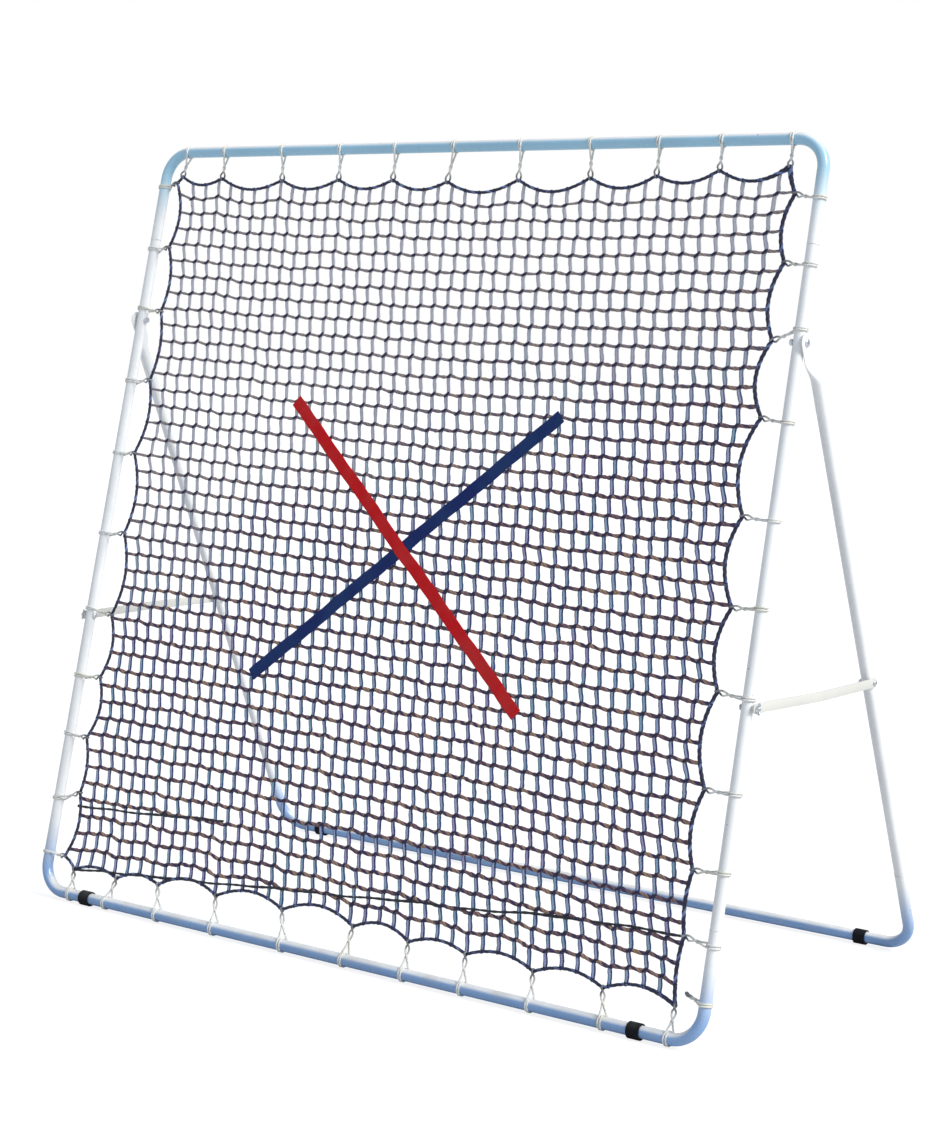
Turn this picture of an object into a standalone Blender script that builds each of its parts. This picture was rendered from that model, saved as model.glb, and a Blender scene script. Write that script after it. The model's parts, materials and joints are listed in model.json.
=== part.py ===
"""Free-standing rebound net: a square white tube frame that leans back on a folding stand.

Metres, +Z up. The origin is on the floor, midway between the front and rear bars.
X runs across the net, the net faces -Y and the stand is behind it, towards +Y.
The front frame is drawn in its own plane: x across, z up along the uprights from
the centre of the bottom bar, y square to the net.
"""
import math

import bmesh
import bpy
from mathutils import Matrix, Vector

# Driving sizes of the frame and the stand, between tube centres
FRAME_WIDTH = 1.800
FRAME_HEIGHT = 1.800
LEAN = math.radians(12.2)
PIVOT_DOWN = 0.420
BASE_DEPTH = 0.900
CORNER_RADIUS = 0.065
TUBE_DIAMETER = 0.0254
TUBE_WALL = 0.0015
BOW_ARM = 0.220
REAR_BOW_ARM = 0.200
NECK_LENGTH = 0.050
NECK_CHAMFER = 0.0005

# Clearances
GAP = 0.0003
RUNNING_GAP = 0.00025
ROUNDING_GAP = 0.0005

# Leg end, pressed flat and flush with the tube's inner side
PADDLE_THICK = 0.004
PADDLE_WIDTH = 0.037
PADDLE_LENGTH = 0.036
PADDLE_TAPER = 0.050
PADDLE_FLATNESS = 0.65

# Bolts
PIVOT_BOLT_DIAMETER = 0.008
STAY_BOLT_DIAMETER = 0.006
HEAD_HEIGHT = 0.0042
HEAD_RIM = 0.0014
HEAD_PER_SHANK = 2.1
NUT_HEIGHT = 0.0055
NUT_ACROSS_CORNERS_PER_SHANK = 1.85
THREAD_PAST_NUT = 0.002
THREAD_CHAMFER = 0.0006
PIVOT_SPACER_THICK = 0.001
PIVOT_SPACER_DIAMETER = 0.018
STUD_SPACER_THICK = 0.0042
STUD_SPACER_DIAMETER = 0.015

# Stays: flat bars bolted to the legs, which hook over a stud on each upright
STAY_STUD_UP = 0.652
STAY_BOLT_UP = 0.696
STAY_HEIGHT = 0.020
STAY_THICK = 0.003
STAY_END = 0.011
PAD_LENGTH = 0.034
JOG_LENGTH = 0.195
SLOT_CLEARANCE = 0.0006
STAY_TURN_RATIO = 2.0

# Wing nuts
WING_HUB_DIAMETER = 0.0125
WING_HUB_HEIGHT = 0.007
WING_HUB_TAPER = 0.0016
WING_SPAN = 0.029
WING_RISE = 0.012
WING_EAR_RADIUS = 0.0036
WING_THICK = 0.0025

# Rubber feet, measured in from the uprights and from the legs
FOOT_WALL = 0.0046
FOOT_LENGTH = 0.036
FRONT_FOOT_IN = 0.145
REAR_FOOT_IN = 0.127

# Net, its border rope and its elastic ties
TIE_INSET = 0.058
SCALLOP_DEPTH = 0.026
ROPE_DIAMETER = 0.007
NET_GAPS = 16
NET_STRAND = 0.006
NET_THICK = 0.004
TIE_WIDTH = 0.010
TIE_REACH = 0.0037
TIE_TIP = 0.004
TIE_CLEARANCE = 0.004

# Where each tie is: its share of the way along the straight tube, from the left or from below
TOP_TIES = (0.000, 0.069, 0.178, 0.285, 0.383, 0.483, 0.593, 0.703, 0.807, 0.898, 1.000)
BOTTOM_TIES = (0.009, 0.083, 0.181, 0.285, 0.407, 0.511, 0.609, 0.701, 0.804, 0.909, 1.000)
LEFT_TIES = (0.009, 0.086, 0.179, 0.263, 0.360, 0.471, 0.590, 0.697, 0.801, 0.895, 0.989)
RIGHT_TIES = (0.009, 0.072, 0.157, 0.249, 0.361, 0.468, 0.573, 0.692, 0.793, 0.885, 0.968)

# Target straps, crossed in front of the net just below its middle
STRAP_WIDTH = 0.030
STRAP_THICK = 0.0015
STRAP_HALF_SPAN = 0.366
STRAP_HALF_RISE = 0.317
STRAP_DROP = 0.013
STRAP_LIFT_RUN = 0.030

# How finely round shapes are drawn; a rounded end stops just short of its tip
TUBE_SIDES = 12
SMALL_SIDES = 12
CORNER_STEPS = 5
TAPER_STEPS = 3
SLOT_STEPS = 8
EAR_STEPS = 4
TIE_STEPS = 4
SCALLOP_STEPS = 4
END_RINGS = 4
END_FROM = math.radians(10)
END_TO = math.radians(78)

# Sizes worked out from the driving sizes
TUBE_R = TUBE_DIAMETER / 2
BORE_R = TUBE_R - TUBE_WALL
NECK_R = BORE_R - GAP
NECK_BORE_R = NECK_R - TUBE_WALL
HALF_WIDTH = FRAME_WIDTH / 2
FOOT_R = TUBE_R + GAP + FOOT_WALL
BAR_HEIGHT = FOOT_R * math.cos(math.pi / TUBE_SIDES)
LEG_OUT = 2 * TUBE_R + PIVOT_SPACER_THICK + 2 * RUNNING_GAP
PADDLE_IN = TUBE_R + PIVOT_SPACER_THICK + 2 * RUNNING_GAP
PAD_IN = TUBE_R + RUNNING_GAP + STUD_SPACER_THICK + GAP
STAY_OUT = LEG_OUT + TUBE_R + GAP
WING_IN = PAD_IN + STAY_THICK + GAP

# The triangle of upright, leg and floor
PIVOT_UP = FRAME_HEIGHT - PIVOT_DOWN
FRONT_BAR_Y = -BASE_DEPTH / 2
PIVOT_Y = FRONT_BAR_Y + PIVOT_UP * math.sin(LEAN)
PIVOT_Z = BAR_HEIGHT + PIVOT_UP * math.cos(LEAN)
LEG_LENGTH = math.hypot(BASE_DEPTH / 2 - PIVOT_Y, PIVOT_Z - BAR_HEIGHT)
LEG_ANGLE = math.atan2(BASE_DEPTH / 2 - PIVOT_Y, PIVOT_Z - BAR_HEIGHT)
STAY_BOLT_DOWN = LEG_LENGTH - STAY_BOLT_UP

STUD_YZ = Vector((FRONT_BAR_Y + STAY_STUD_UP * math.sin(LEAN),
                  BAR_HEIGHT + STAY_STUD_UP * math.cos(LEAN)))
STAY_BOLT_YZ = Vector((PIVOT_Y + STAY_BOLT_DOWN * math.sin(LEG_ANGLE),
                       PIVOT_Z - STAY_BOLT_DOWN * math.cos(LEG_ANGLE)))
STAY_REACH = (STUD_YZ - STAY_BOLT_YZ).length
STAY_ANGLE = math.atan2(STAY_BOLT_YZ.y - STUD_YZ.y, STAY_BOLT_YZ.x - STUD_YZ.x)


def clear_scene():
    """Remove whatever the file holds."""
    for obj in list(bpy.data.objects):
        bpy.data.objects.remove(obj, do_unlink=True)


def make_material(name, colour, roughness, metallic=0.0):
    """A plain Principled material."""
    material = bpy.data.materials.new(name)
    material.use_nodes = True
    shader = material.node_tree.nodes["Principled BSDF"]
    shader.inputs["Base Color"].default_value = (*colour, 1.0)
    shader.inputs["Roughness"].default_value = roughness
    shader.inputs["Metallic"].default_value = metallic
    return material


def add_empty(name, location, turn_x=0.0, parent=None):
    """An axis or a frame that pieces hang from."""
    empty = bpy.data.objects.new(name, None)
    empty.location = location
    empty.rotation_euler = (turn_x, 0.0, 0.0)
    empty.parent = parent
    bpy.context.scene.collection.objects.link(empty)
    return empty


def add_object(name, bm, parent, material=None, smooth=True):
    """Turn a bmesh into a named object whose faces point out."""
    bmesh.ops.recalc_face_normals(bm, faces=bm.faces)
    mesh = bpy.data.meshes.new(name)
    bm.to_mesh(mesh)
    bm.free()
    if smooth:
        mesh.shade_smooth()
        mesh.set_sharp_from_angle(angle=math.radians(35))
    obj = bpy.data.objects.new(name, mesh)
    obj.parent = parent
    if material:
        mesh.materials.append(material)
    bpy.context.scene.collection.objects.link(obj)
    return obj


def add_skin(bm, rings, loop=False):
    """Join rings of equal count with quads, and cap the ends or close the loop."""
    rows = [[bm.verts.new(point) for point in ring] for ring in rings]
    pairs = list(zip(rows, rows[1:]))
    if loop:
        pairs.append((rows[-1], rows[0]))
    count = len(rows[0])
    for near, far in pairs:
        for i in range(count):
            j = (i + 1) % count
            bm.faces.new((near[i], near[j], far[j], far[i]))
    if not loop:
        bm.faces.new(rows[0])
        bm.faces.new(rows[-1])
    return bm


def skin(rings, loop=False):
    """A new bmesh with one skin."""
    return add_skin(bmesh.new(), rings, loop)


def cut(target, cutters, operation="DIFFERENCE"):
    """Boolean the target with helper objects that aren't pieces."""
    for cutter in cutters:
        cutter.hide_render = True
        cutter.display_type = "WIRE"
        modifier = target.modifiers.new(cutter.name, "BOOLEAN")
        modifier.operation = operation
        modifier.solver = "EXACT"
        modifier.object = cutter


def circle_x(x, radius, centre=(0.0, 0.0), sides=TUBE_SIDES):
    """A ring square to X, with a corner on its Y axis."""
    ring = []
    for i in range(sides):
        angle = 2 * math.pi * i / sides
        ring.append((x, centre[0] + radius * math.cos(angle), centre[1] + radius * math.sin(angle)))
    return ring


def hexagon_x(x, radius, centre=(0.0, 0.0)):
    """A hexagon square to X, with a point at each corner and halfway along each side."""
    ring = []
    for i in range(SMALL_SIDES):
        angle = 2 * math.pi * i / SMALL_SIDES
        reach = radius if i % 2 == 0 else radius * math.cos(math.pi / 6)
        ring.append((x, centre[0] + reach * math.cos(angle), centre[1] + reach * math.sin(angle)))
    return ring


def mirrored(rings, side):
    """The rings on the right side, or their mirror image on the left."""
    return [[(side * x, y, z) for x, y, z in ring] for ring in rings]


def rounded_end():
    """Shares (along, across) of a quarter circle, from its straight side nearly to its tip."""
    pairs = []
    for i in range(END_RINGS):
        angle = END_FROM + (END_TO - END_FROM) * i / (END_RINGS - 1)
        pairs.append((math.sin(angle), math.cos(angle)))
    return pairs


def rod_x(name, parent, side, stations, centre, material=None, sides=SMALL_SIDES):
    """A turned solid along X from (x, radius) stations."""
    rings = [circle_x(x, radius, centre, sides) for x, radius in stations]
    return add_object(name, skin(mirrored(rings, side)), parent, material)


def hole_x(name, parent, side, x_low, x_high, diameter, centre):
    """A cutter for a hole along X with running clearance for a bolt."""
    radius = diameter / 2 + GAP
    return rod_x(name, parent, side, ((x_low, radius), (x_high, radius)), centre)


def path_rings(points, radii, sides=TUBE_SIDES):
    """Rings round a path in the plane y = 0, mitred at each point, one radius for each."""
    normal = Vector((0.0, 1.0, 0.0))
    points = [Vector(point) for point in points]
    steps = [(far - near).normalized() for near, far in zip(points, points[1:])]
    rings = []
    for i, point in enumerate(points):
        before = steps[max(i - 1, 0)]
        after = steps[min(i, len(steps) - 1)]
        along = (before + after).normalized()
        across = along.cross(normal)
        stretch = 1.0 / along.dot(after)
        ring = []
        for k in range(sides):
            angle = 2 * math.pi * k / sides
            ring.append(tuple(point + across * (radii[i] * math.cos(angle) * stretch)
                              + normal * (radii[i] * math.sin(angle))))
        rings.append(ring)
    return rings


def bow_corners(half_width):
    """The path round the two corners of a U whose bar lies at z = 0."""
    points = []
    centres = ((-half_width + CORNER_RADIUS, math.pi), (half_width - CORNER_RADIUS, 1.5 * math.pi))
    for centre_x, start in centres:
        for i in range(CORNER_STEPS + 1):
            angle = start + 0.5 * math.pi * i / CORNER_STEPS
            points.append((centre_x + CORNER_RADIUS * math.cos(angle), 0.0,
                           CORNER_RADIUS + CORNER_RADIUS * math.sin(angle)))
    return points


def make_bow(name, parent, half_width, arm, material, height=0.0, upside_down=False):
    """A bent tube whose two ends are drawn down to necks that plug into straight tubes."""
    shoulder = arm - GAP
    neck = shoulder + NECK_LENGTH
    corners = bow_corners(half_width)
    ends = (neck, shoulder, shoulder - NECK_CHAMFER)
    outer = ([(-half_width, 0.0, z) for z in ends] + corners
             + [(half_width, 0.0, z) for z in reversed(ends)])
    outer_radii = [NECK_R, NECK_R] + [TUBE_R] * (len(outer) - 4) + [NECK_R, NECK_R]
    inner = [(-half_width, 0.0, neck)] + corners + [(half_width, 0.0, neck)]
    inner_radii = [NECK_BORE_R] * len(inner)
    rings = path_rings(outer, outer_radii) + path_rings(inner, inner_radii)[::-1]
    flip = -1.0 if upside_down else 1.0
    rings = [[(x, y, height + flip * z) for x, y, z in ring] for ring in rings]
    return add_object(name, skin(rings, loop=True), parent, material)


def make_upright(side, parent, material):
    """A straight tube that takes both bows' necks, with cross holes for the bolts."""
    low = BOW_ARM
    high = FRAME_HEIGHT - BOW_ARM
    rings = []
    for z, radius in ((low, TUBE_R), (high, TUBE_R), (high, BORE_R), (low, BORE_R)):
        rings.append([(side * HALF_WIDTH + x, y, z) for z0, x, y in circle_x(0.0, radius)])
    name = "left_upright" if side < 0 else "right_upright"
    upright = add_object(name, skin(rings, loop=True), parent, material)
    cutters = []
    for label, up, diameter in (("pivot", PIVOT_UP, PIVOT_BOLT_DIAMETER),
                                ("stud", STAY_STUD_UP, STAY_BOLT_DIAMETER)):
        cutters.append(hole_x(f"{name}_{label}_hole", parent, side, HALF_WIDTH - TUBE_DIAMETER,
                              HALF_WIDTH + TUBE_DIAMETER, diameter, (0.0, up)))
    cut(upright, cutters)
    return upright


def make_leg(side, parent, material):
    """A leg: round tube below, its upper end pressed flat, rounded and drilled."""
    name = "left_leg" if side < 0 else "right_leg"
    out = HALF_WIDTH + LEG_OUT
    paddle_mid = HALF_WIDTH + PADDLE_IN + PADDLE_THICK / 2
    lower_end = -(LEG_LENGTH - REAR_BOW_ARM)
    bore_end = -PADDLE_LENGTH - PADDLE_TAPER - TUBE_DIAMETER
    angles = [2 * math.pi * i / TUBE_SIDES for i in range(TUBE_SIDES)]

    def section(z, pressed, width_scale=1.0):
        """The outline at z from round, 0, to pressed flat, 1; the inner side stays flush."""
        half_y = TUBE_R + pressed * (PADDLE_WIDTH / 2 - TUBE_R)
        half_x = TUBE_R + pressed * (PADDLE_THICK / 2 - TUBE_R)
        centre = out + pressed * (paddle_mid - out)
        ring = []
        for angle in angles:
            across = math.cos(angle)
            bulge = math.copysign(abs(across) ** (1.0 - PADDLE_FLATNESS * pressed), across)
            ring.append((centre + bulge * half_x, math.sin(angle) * half_y * width_scale, z))
        return ring

    rings = [[(out + BORE_R * math.cos(angle), BORE_R * math.sin(angle), z) for angle in angles]
             for z in (bore_end, lower_end)]
    rings.append(section(lower_end, 0.0))
    for i in range(TAPER_STEPS + 1):
        share = i / TAPER_STEPS
        z = -PADDLE_LENGTH - PADDLE_TAPER * (1.0 - share)
        rings.append(section(z, share * share * (3 - 2 * share)))
    for along, across in rounded_end():
        rings.append(section(PADDLE_WIDTH / 2 * along, 1.0, across))
    leg = add_object(name, skin(mirrored(rings, side)), parent, material)

    cutters = [
        hole_x(f"{name}_pivot_hole", parent, side, HALF_WIDTH, HALF_WIDTH + LEG_OUT,
               PIVOT_BOLT_DIAMETER, (0.0, 0.0)),
        hole_x(f"{name}_stay_hole", parent, side, HALF_WIDTH, HALF_WIDTH + LEG_OUT + 2 * TUBE_R,
               STAY_BOLT_DIAMETER, (0.0, -STAY_BOLT_DOWN)),
    ]
    cut(leg, cutters)
    return leg


def make_bolt(name, parent, side, diameter, head_at, nut_end, centre, material):
    """A round-headed bolt along X. The head may be at either end."""
    outward = 1.0 if head_at > nut_end else -1.0
    head_r = diameter * HEAD_PER_SHANK / 2
    stations = [
        (nut_end, diameter / 2 - THREAD_CHAMFER),
        (nut_end + outward * THREAD_CHAMFER, diameter / 2),
        (head_at, diameter / 2),
        (head_at, head_r),
    ]
    for along, across in rounded_end():
        rise = HEAD_RIM + (HEAD_HEIGHT - HEAD_RIM) * along
        stations.append((head_at + outward * rise, head_r * across))
    return rod_x(name, parent, side, stations, centre, material)


def make_ring(name, parent, side, x_low, x_high, outer_ring, bore_diameter, centre, material):
    """A washer, spacer or nut: a ring along X with a clear hole for the bolt."""
    bore_r = bore_diameter / 2 + GAP
    rings = [
        outer_ring(x_low),
        outer_ring(x_high),
        circle_x(x_high, bore_r, centre, SMALL_SIDES),
        circle_x(x_low, bore_r, centre, SMALL_SIDES),
    ]
    return add_object(name, skin(mirrored(rings, side), loop=True), parent, material)


def make_nut(name, parent, side, x_low, diameter, centre, material):
    """A hexagon nut with its seat at its higher x."""
    radius = diameter * NUT_ACROSS_CORNERS_PER_SHANK / 2
    return make_ring(name, parent, side, x_low, x_low + NUT_HEIGHT,
                     lambda x: hexagon_x(x, radius, centre), diameter, centre, material)


def make_spacer(name, parent, side, x_low, thick, outer_diameter, bolt_diameter, centre, material):
    """A round spacer on a bolt."""
    return make_ring(name, parent, side, x_low, x_low + thick,
                     lambda x: circle_x(x, outer_diameter / 2, centre, SMALL_SIDES),
                     bolt_diameter, centre, material)


def stud_seen_from_stay(fold):
    """Where the stud is in the stay's own plane once the stand has folded by an angle."""
    pivot = Vector((PIVOT_Y, PIVOT_Z))
    turned = Matrix.Rotation(-fold, 2)
    bolt = pivot + turned @ (STAY_BOLT_YZ - pivot)
    back = Matrix.Rotation(fold * (1.0 + STAY_TURN_RATIO) - STAY_ANGLE, 2)
    return back @ (STUD_YZ - bolt)


def stay_rings(side):
    """Rectangular sections along a stay: round ends, a flat pad and the jog beside the upright."""
    jog_from = STAY_REACH - PAD_LENGTH
    jog_to = jog_from - JOG_LENGTH
    outer = HALF_WIDTH + STAY_OUT
    inner = HALF_WIDTH + PAD_IN
    half = STAY_HEIGHT / 2

    stations = [(-STAY_END * along, half * across, outer) for along, across in reversed(rounded_end())]
    stations.append((STAY_END, half, outer))
    stations.append((jog_to, half, outer))
    stations.append((jog_from, half, inner))
    for along, across in rounded_end():
        stations.append((STAY_REACH + STAY_END * along, half * across, inner))
    rings = []
    for along, height, x in stations:
        rings.append([(x, -along, -height), (x + STAY_THICK, -along, -height),
                      (x + STAY_THICK, -along, height), (x, -along, height)])
    return mirrored(rings, side)


def make_stay(side, parent, material):
    """A flat bar, drilled at the rear, with an open hook slot at the front."""
    name = "left_stay" if side < 0 else "right_stay"
    stay = add_object(name, skin(stay_rings(side)), parent, material, smooth=False)
    x_low = HALF_WIDTH + PAD_IN - STAY_THICK
    x_high = HALF_WIDTH + STAY_OUT + 2 * STAY_THICK
    rear_hole = hole_x(f"{name}_rear_hole", parent, side, x_low, x_high,
                       STAY_BOLT_DIAMETER, (0.0, 0.0))

    # The slot leaves the stud the way the stud moves, and runs well past the bar's edge
    radius = STAY_BOLT_DIAMETER / 2 + SLOT_CLEARANCE
    seat = stud_seen_from_stay(0.0)
    leaving = (stud_seen_from_stay(math.radians(1.0)) - seat).normalized()
    mouth = seat + leaving * (2 * STAY_HEIGHT)
    square = Vector((-leaving.y, leaving.x))
    outline = []
    for i in range(SLOT_STEPS + 1):
        angle = math.pi * i / SLOT_STEPS
        outline.append(seat + square * (radius * math.cos(angle)) - leaving * (radius * math.sin(angle)))
    outline += [mouth - square * radius, mouth + square * radius]
    rings = [[(x, point.x, point.y) for point in outline] for x in (x_low, x_high)]
    slot = add_object(f"{name}_slot", skin(mirrored(rings, side)), parent)
    cut(stay, [rear_hole, slot])
    return stay


def make_wing_nut(side, parent, material):
    """A tapered hub with two rounded ears, on the stud outside the stay."""
    name = "left_wing_nut" if side < 0 else "right_wing_nut"
    hub_r = WING_HUB_DIAMETER / 2
    top_r = hub_r - WING_HUB_TAPER
    bore_r = STAY_BOLT_DIAMETER / 2 + GAP
    rings = [circle_x(x, radius, (0.0, 0.0), SMALL_SIDES) for x, radius in
             ((0.0, hub_r), (WING_HUB_HEIGHT, top_r), (WING_HUB_HEIGHT, bore_r), (0.0, bore_r))]
    nut = add_object(name, skin(mirrored(rings, side), loop=True), parent, material)

    # Each ear starts inside the hub's wall and ends in a half circle
    root = (top_r + bore_r) / 2
    ear_x = WING_RISE - WING_EAR_RADIUS
    ear_out = WING_SPAN / 2 - WING_EAR_RADIUS
    outline = [(WING_THICK, root)]
    for i in range(EAR_STEPS + 1):
        angle = 0.75 * math.pi - math.pi * i / EAR_STEPS
        outline.append((ear_x + WING_EAR_RADIUS * math.cos(angle),
                        ear_out + WING_EAR_RADIUS * math.sin(angle)))
    outline.append((WING_HUB_HEIGHT - WING_THICK / 2, root))
    wings = bmesh.new()
    for way in (-1, 1):
        rings = [[(side * x, depth, way * z) for x, z in outline]
                 for depth in (-WING_THICK / 2, WING_THICK / 2)]
        add_skin(wings, rings)
    cut(nut, [add_object(f"{name}_wings", wings, parent)], "UNION")
    return nut


def make_foot(name, parent, out, lean, material):
    """A rubber sleeve on a bar, whose lowest flat is level at rest."""
    half = FOOT_LENGTH / 2
    bore_r = (TUBE_R + GAP) / math.cos(math.pi / TUBE_SIDES)
    rings = []
    for x, radius in ((-half, FOOT_R), (half, FOOT_R), (half, bore_r), (-half, bore_r)):
        ring = []
        for i in range(TUBE_SIDES):
            angle = 2 * math.pi * (i + 0.5) / TUBE_SIDES
            ring.append((out + x, radius * math.cos(angle), radius * math.sin(angle)))
        rings.append(ring)
    foot = add_object(name, skin(rings, loop=True), parent, material)
    foot.rotation_euler = (lean, 0.0, 0.0)
    return foot


def make_net(parent, material):
    """The net as one flat grid, inside the hollows of its border rope."""
    inset = TIE_INSET + SCALLOP_DEPTH + ROPE_DIAMETER / 2 + ROUNDING_GAP
    spans = ((-HALF_WIDTH + inset, HALF_WIDTH - inset), (inset, FRAME_HEIGHT - inset))
    lines = []
    for low, high in spans:
        pitch = (high - low - NET_STRAND) / NET_GAPS
        edges = []
        for i in range(NET_GAPS + 1):
            edges += [low + i * pitch, low + i * pitch + NET_STRAND]
        lines.append(edges)
    across, up = lines
    bm = bmesh.new()
    half = NET_THICK / 2
    grid = {}
    for i, x in enumerate(across):
        for j, z in enumerate(up):
            grid[i, j] = (bm.verts.new((x, -half, z)), bm.verts.new((x, half, z)))

    def solid(i, j):
        """A cell is cord unless it is a gap in both directions."""
        inside = 0 <= i < len(across) - 1 and 0 <= j < len(up) - 1
        return inside and (i % 2 == 0 or j % 2 == 0)

    for i in range(len(across) - 1):
        for j in range(len(up) - 1):
            if not solid(i, j):
                continue
            corners = ((i, j), (i + 1, j), (i + 1, j + 1), (i, j + 1))
            bm.faces.new([grid[c][0] for c in corners])
            bm.faces.new([grid[c][1] for c in reversed(corners)])
            for (a, b), (di, dj) in zip(((0, 1), (1, 2), (2, 3), (3, 0)),
                                        ((0, -1), (1, 0), (0, 1), (-1, 0))):
                if not solid(i + di, j + dj):
                    p, q = corners[a], corners[b]
                    bm.faces.new((grid[p][0], grid[p][1], grid[q][1], grid[q][0]))
    return add_object("net_mesh", bm, parent, material, smooth=False)


def tie_places(shares, length, kept_clear):
    """Distances of the ties along one side, each moved to the nearer edge of a stretch it must avoid."""
    first = CORNER_RADIUS + TIE_WIDTH / 2 + GAP
    places = []
    for share in shares:
        place = first + share * (length - 2 * first)
        for low, high in kept_clear:
            if low < place < high:
                place = low if place - low < high - place else high
        places.append(place)
    return places


def rope_route(ties, start, end):
    """Points (along, inset) of the border rope, pulled out at each tie and hollow between them."""
    first = start + ROPE_DIAMETER
    last = end - ROPE_DIAMETER
    usual = (last - first) / len(ties)
    points = [(start, TIE_INSET), (first, TIE_INSET)]
    stops = [first] + [tie for tie in ties if first < tie < last] + [last]
    for near, far in zip(stops, stops[1:]):
        depth = SCALLOP_DEPTH * min(1.0, (far - near) / usual)
        for i in range(1, SCALLOP_STEPS + 1):
            share = i / SCALLOP_STEPS
            points.append((near + (far - near) * share, TIE_INSET + depth * math.sin(math.pi * share)))
    points.append((end, TIE_INSET))
    return points


def tie_rings(at):
    """One tie as a flat band loop: halfway round the tube, then in to the border rope."""
    inner_r = (TUBE_R + GAP) / math.cos(0.5 * math.pi / TIE_STEPS)
    outer_r = TUBE_R + TIE_REACH
    turn = [math.pi * i / TIE_STEPS for i in range(TIE_STEPS + 1)]
    inner = [(-inner_r * math.sin(angle), inner_r * math.cos(angle)) for angle in turn]
    outer = [(-outer_r * math.sin(angle), outer_r * math.cos(angle)) for angle in turn]
    half_wall = (outer_r - inner_r) / 2
    inner += [(TIE_INSET - half_wall, half_wall - TIE_TIP), (TIE_INSET - half_wall, TIE_TIP - half_wall)]
    outer += [(TIE_INSET + half_wall, -TIE_TIP - half_wall), (TIE_INSET + half_wall, TIE_TIP + half_wall)]
    half = TIE_WIDTH / 2
    rings = []
    for (inset_in, y_in), (inset_out, y_out) in zip(inner, outer):
        rings.append([(at - half, inset_in, y_in), (at - half, inset_out, y_out),
                      (at + half, inset_out, y_out), (at + half, inset_in, y_in)])
    return rings


def make_edge(name, parent, ties, start, end, place, material):
    """One side of the border rope with the elastic ties that hold it to the tube."""
    route = [place(along, inset, 0.0) for along, inset in rope_route(ties, start, end)]
    rope = add_object(name, skin(path_rings(route, [ROPE_DIAMETER / 2] * len(route), 4)),
                      parent, material)
    loops = bmesh.new()
    for at in ties:
        rings = [[place(along, inset, y) for along, inset, y in ring] for ring in tie_rings(at)]
        add_skin(loops, rings, loop=True)
    cut(rope, [add_object(f"{name}_ties", loops, parent)], "UNION")
    return rope


def make_edges(parent, material):
    """The four sides of the border rope; the level sides run the full width."""
    tie_half = TIE_WIDTH / 2 + TIE_CLEARANCE
    foot_half = FOOT_LENGTH / 2 + tie_half
    feet = [(middle - foot_half, middle + foot_half)
            for middle in (FRONT_FOOT_IN, FRAME_WIDTH - FRONT_FOOT_IN)]
    leg_run = (TUBE_R + TIE_REACH + PADDLE_WIDTH / 2) / math.sin(LEAN + LEG_ANGLE)
    stud_half = STUD_SPACER_DIAMETER / 2 + tie_half
    bolts = [(PIVOT_UP - leg_run - tie_half, PIVOT_UP + PADDLE_WIDTH / 2 + tie_half),
             (STAY_STUD_UP - stud_half, STAY_STUD_UP + stud_half)]

    rope_r = ROPE_DIAMETER / 2
    near = TIE_INSET - rope_r
    far = FRAME_WIDTH - near
    low = TIE_INSET + rope_r + GAP
    high = FRAME_HEIGHT - low
    make_edge("top_edge_rope", parent, tie_places(TOP_TIES, FRAME_WIDTH, ()), near, far,
              lambda along, inset, y: (along - HALF_WIDTH, y, FRAME_HEIGHT - inset), material)
    make_edge("bottom_edge_rope", parent, tie_places(BOTTOM_TIES, FRAME_WIDTH, feet), near, far,
              lambda along, inset, y: (along - HALF_WIDTH, y, inset), material)
    make_edge("left_edge_rope", parent, tie_places(LEFT_TIES, FRAME_HEIGHT, bolts), low, high,
              lambda along, inset, y: (inset - HALF_WIDTH, y, along), material)
    make_edge("right_edge_rope", parent, tie_places(RIGHT_TIES, FRAME_HEIGHT, bolts), low, high,
              lambda along, inset, y: (HALF_WIDTH - inset, y, along), material)


def make_strap(name, parent, rising, over, material):
    """A flat webbing strap in front of the net; the upper one steps over the lower one."""
    length = math.hypot(STRAP_HALF_SPAN, STRAP_HALF_RISE)
    along = Vector((STRAP_HALF_SPAN, 0.0, STRAP_HALF_RISE * (1 if rising else -1))) / length
    square = Vector((-along.z, 0.0, along.x))
    centre = Vector((0.0, 0.0, FRAME_HEIGHT / 2 - STRAP_DROP))
    base = -(NET_THICK / 2 + GAP)
    lift = -(STRAP_THICK + GAP)
    stations = [(-length, 0.0)]
    if over:
        stations += [(-STRAP_WIDTH - STRAP_LIFT_RUN, 0.0), (-STRAP_WIDTH, lift),
                     (STRAP_WIDTH, lift), (STRAP_WIDTH + STRAP_LIFT_RUN, 0.0)]
    stations.append((length, 0.0))
    rings = []
    for at, rise in stations:
        middle = centre + along * at
        ring = []
        for across, y in ((-1, base + rise), (1, base + rise),
                          (1, base + rise - STRAP_THICK), (-1, base + rise - STRAP_THICK)):
            point = middle + square * (across * STRAP_WIDTH / 2)
            ring.append((point.x, y, point.z))
        rings.append(ring)
    return add_object(name, skin(rings), parent, material, smooth=False)


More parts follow.
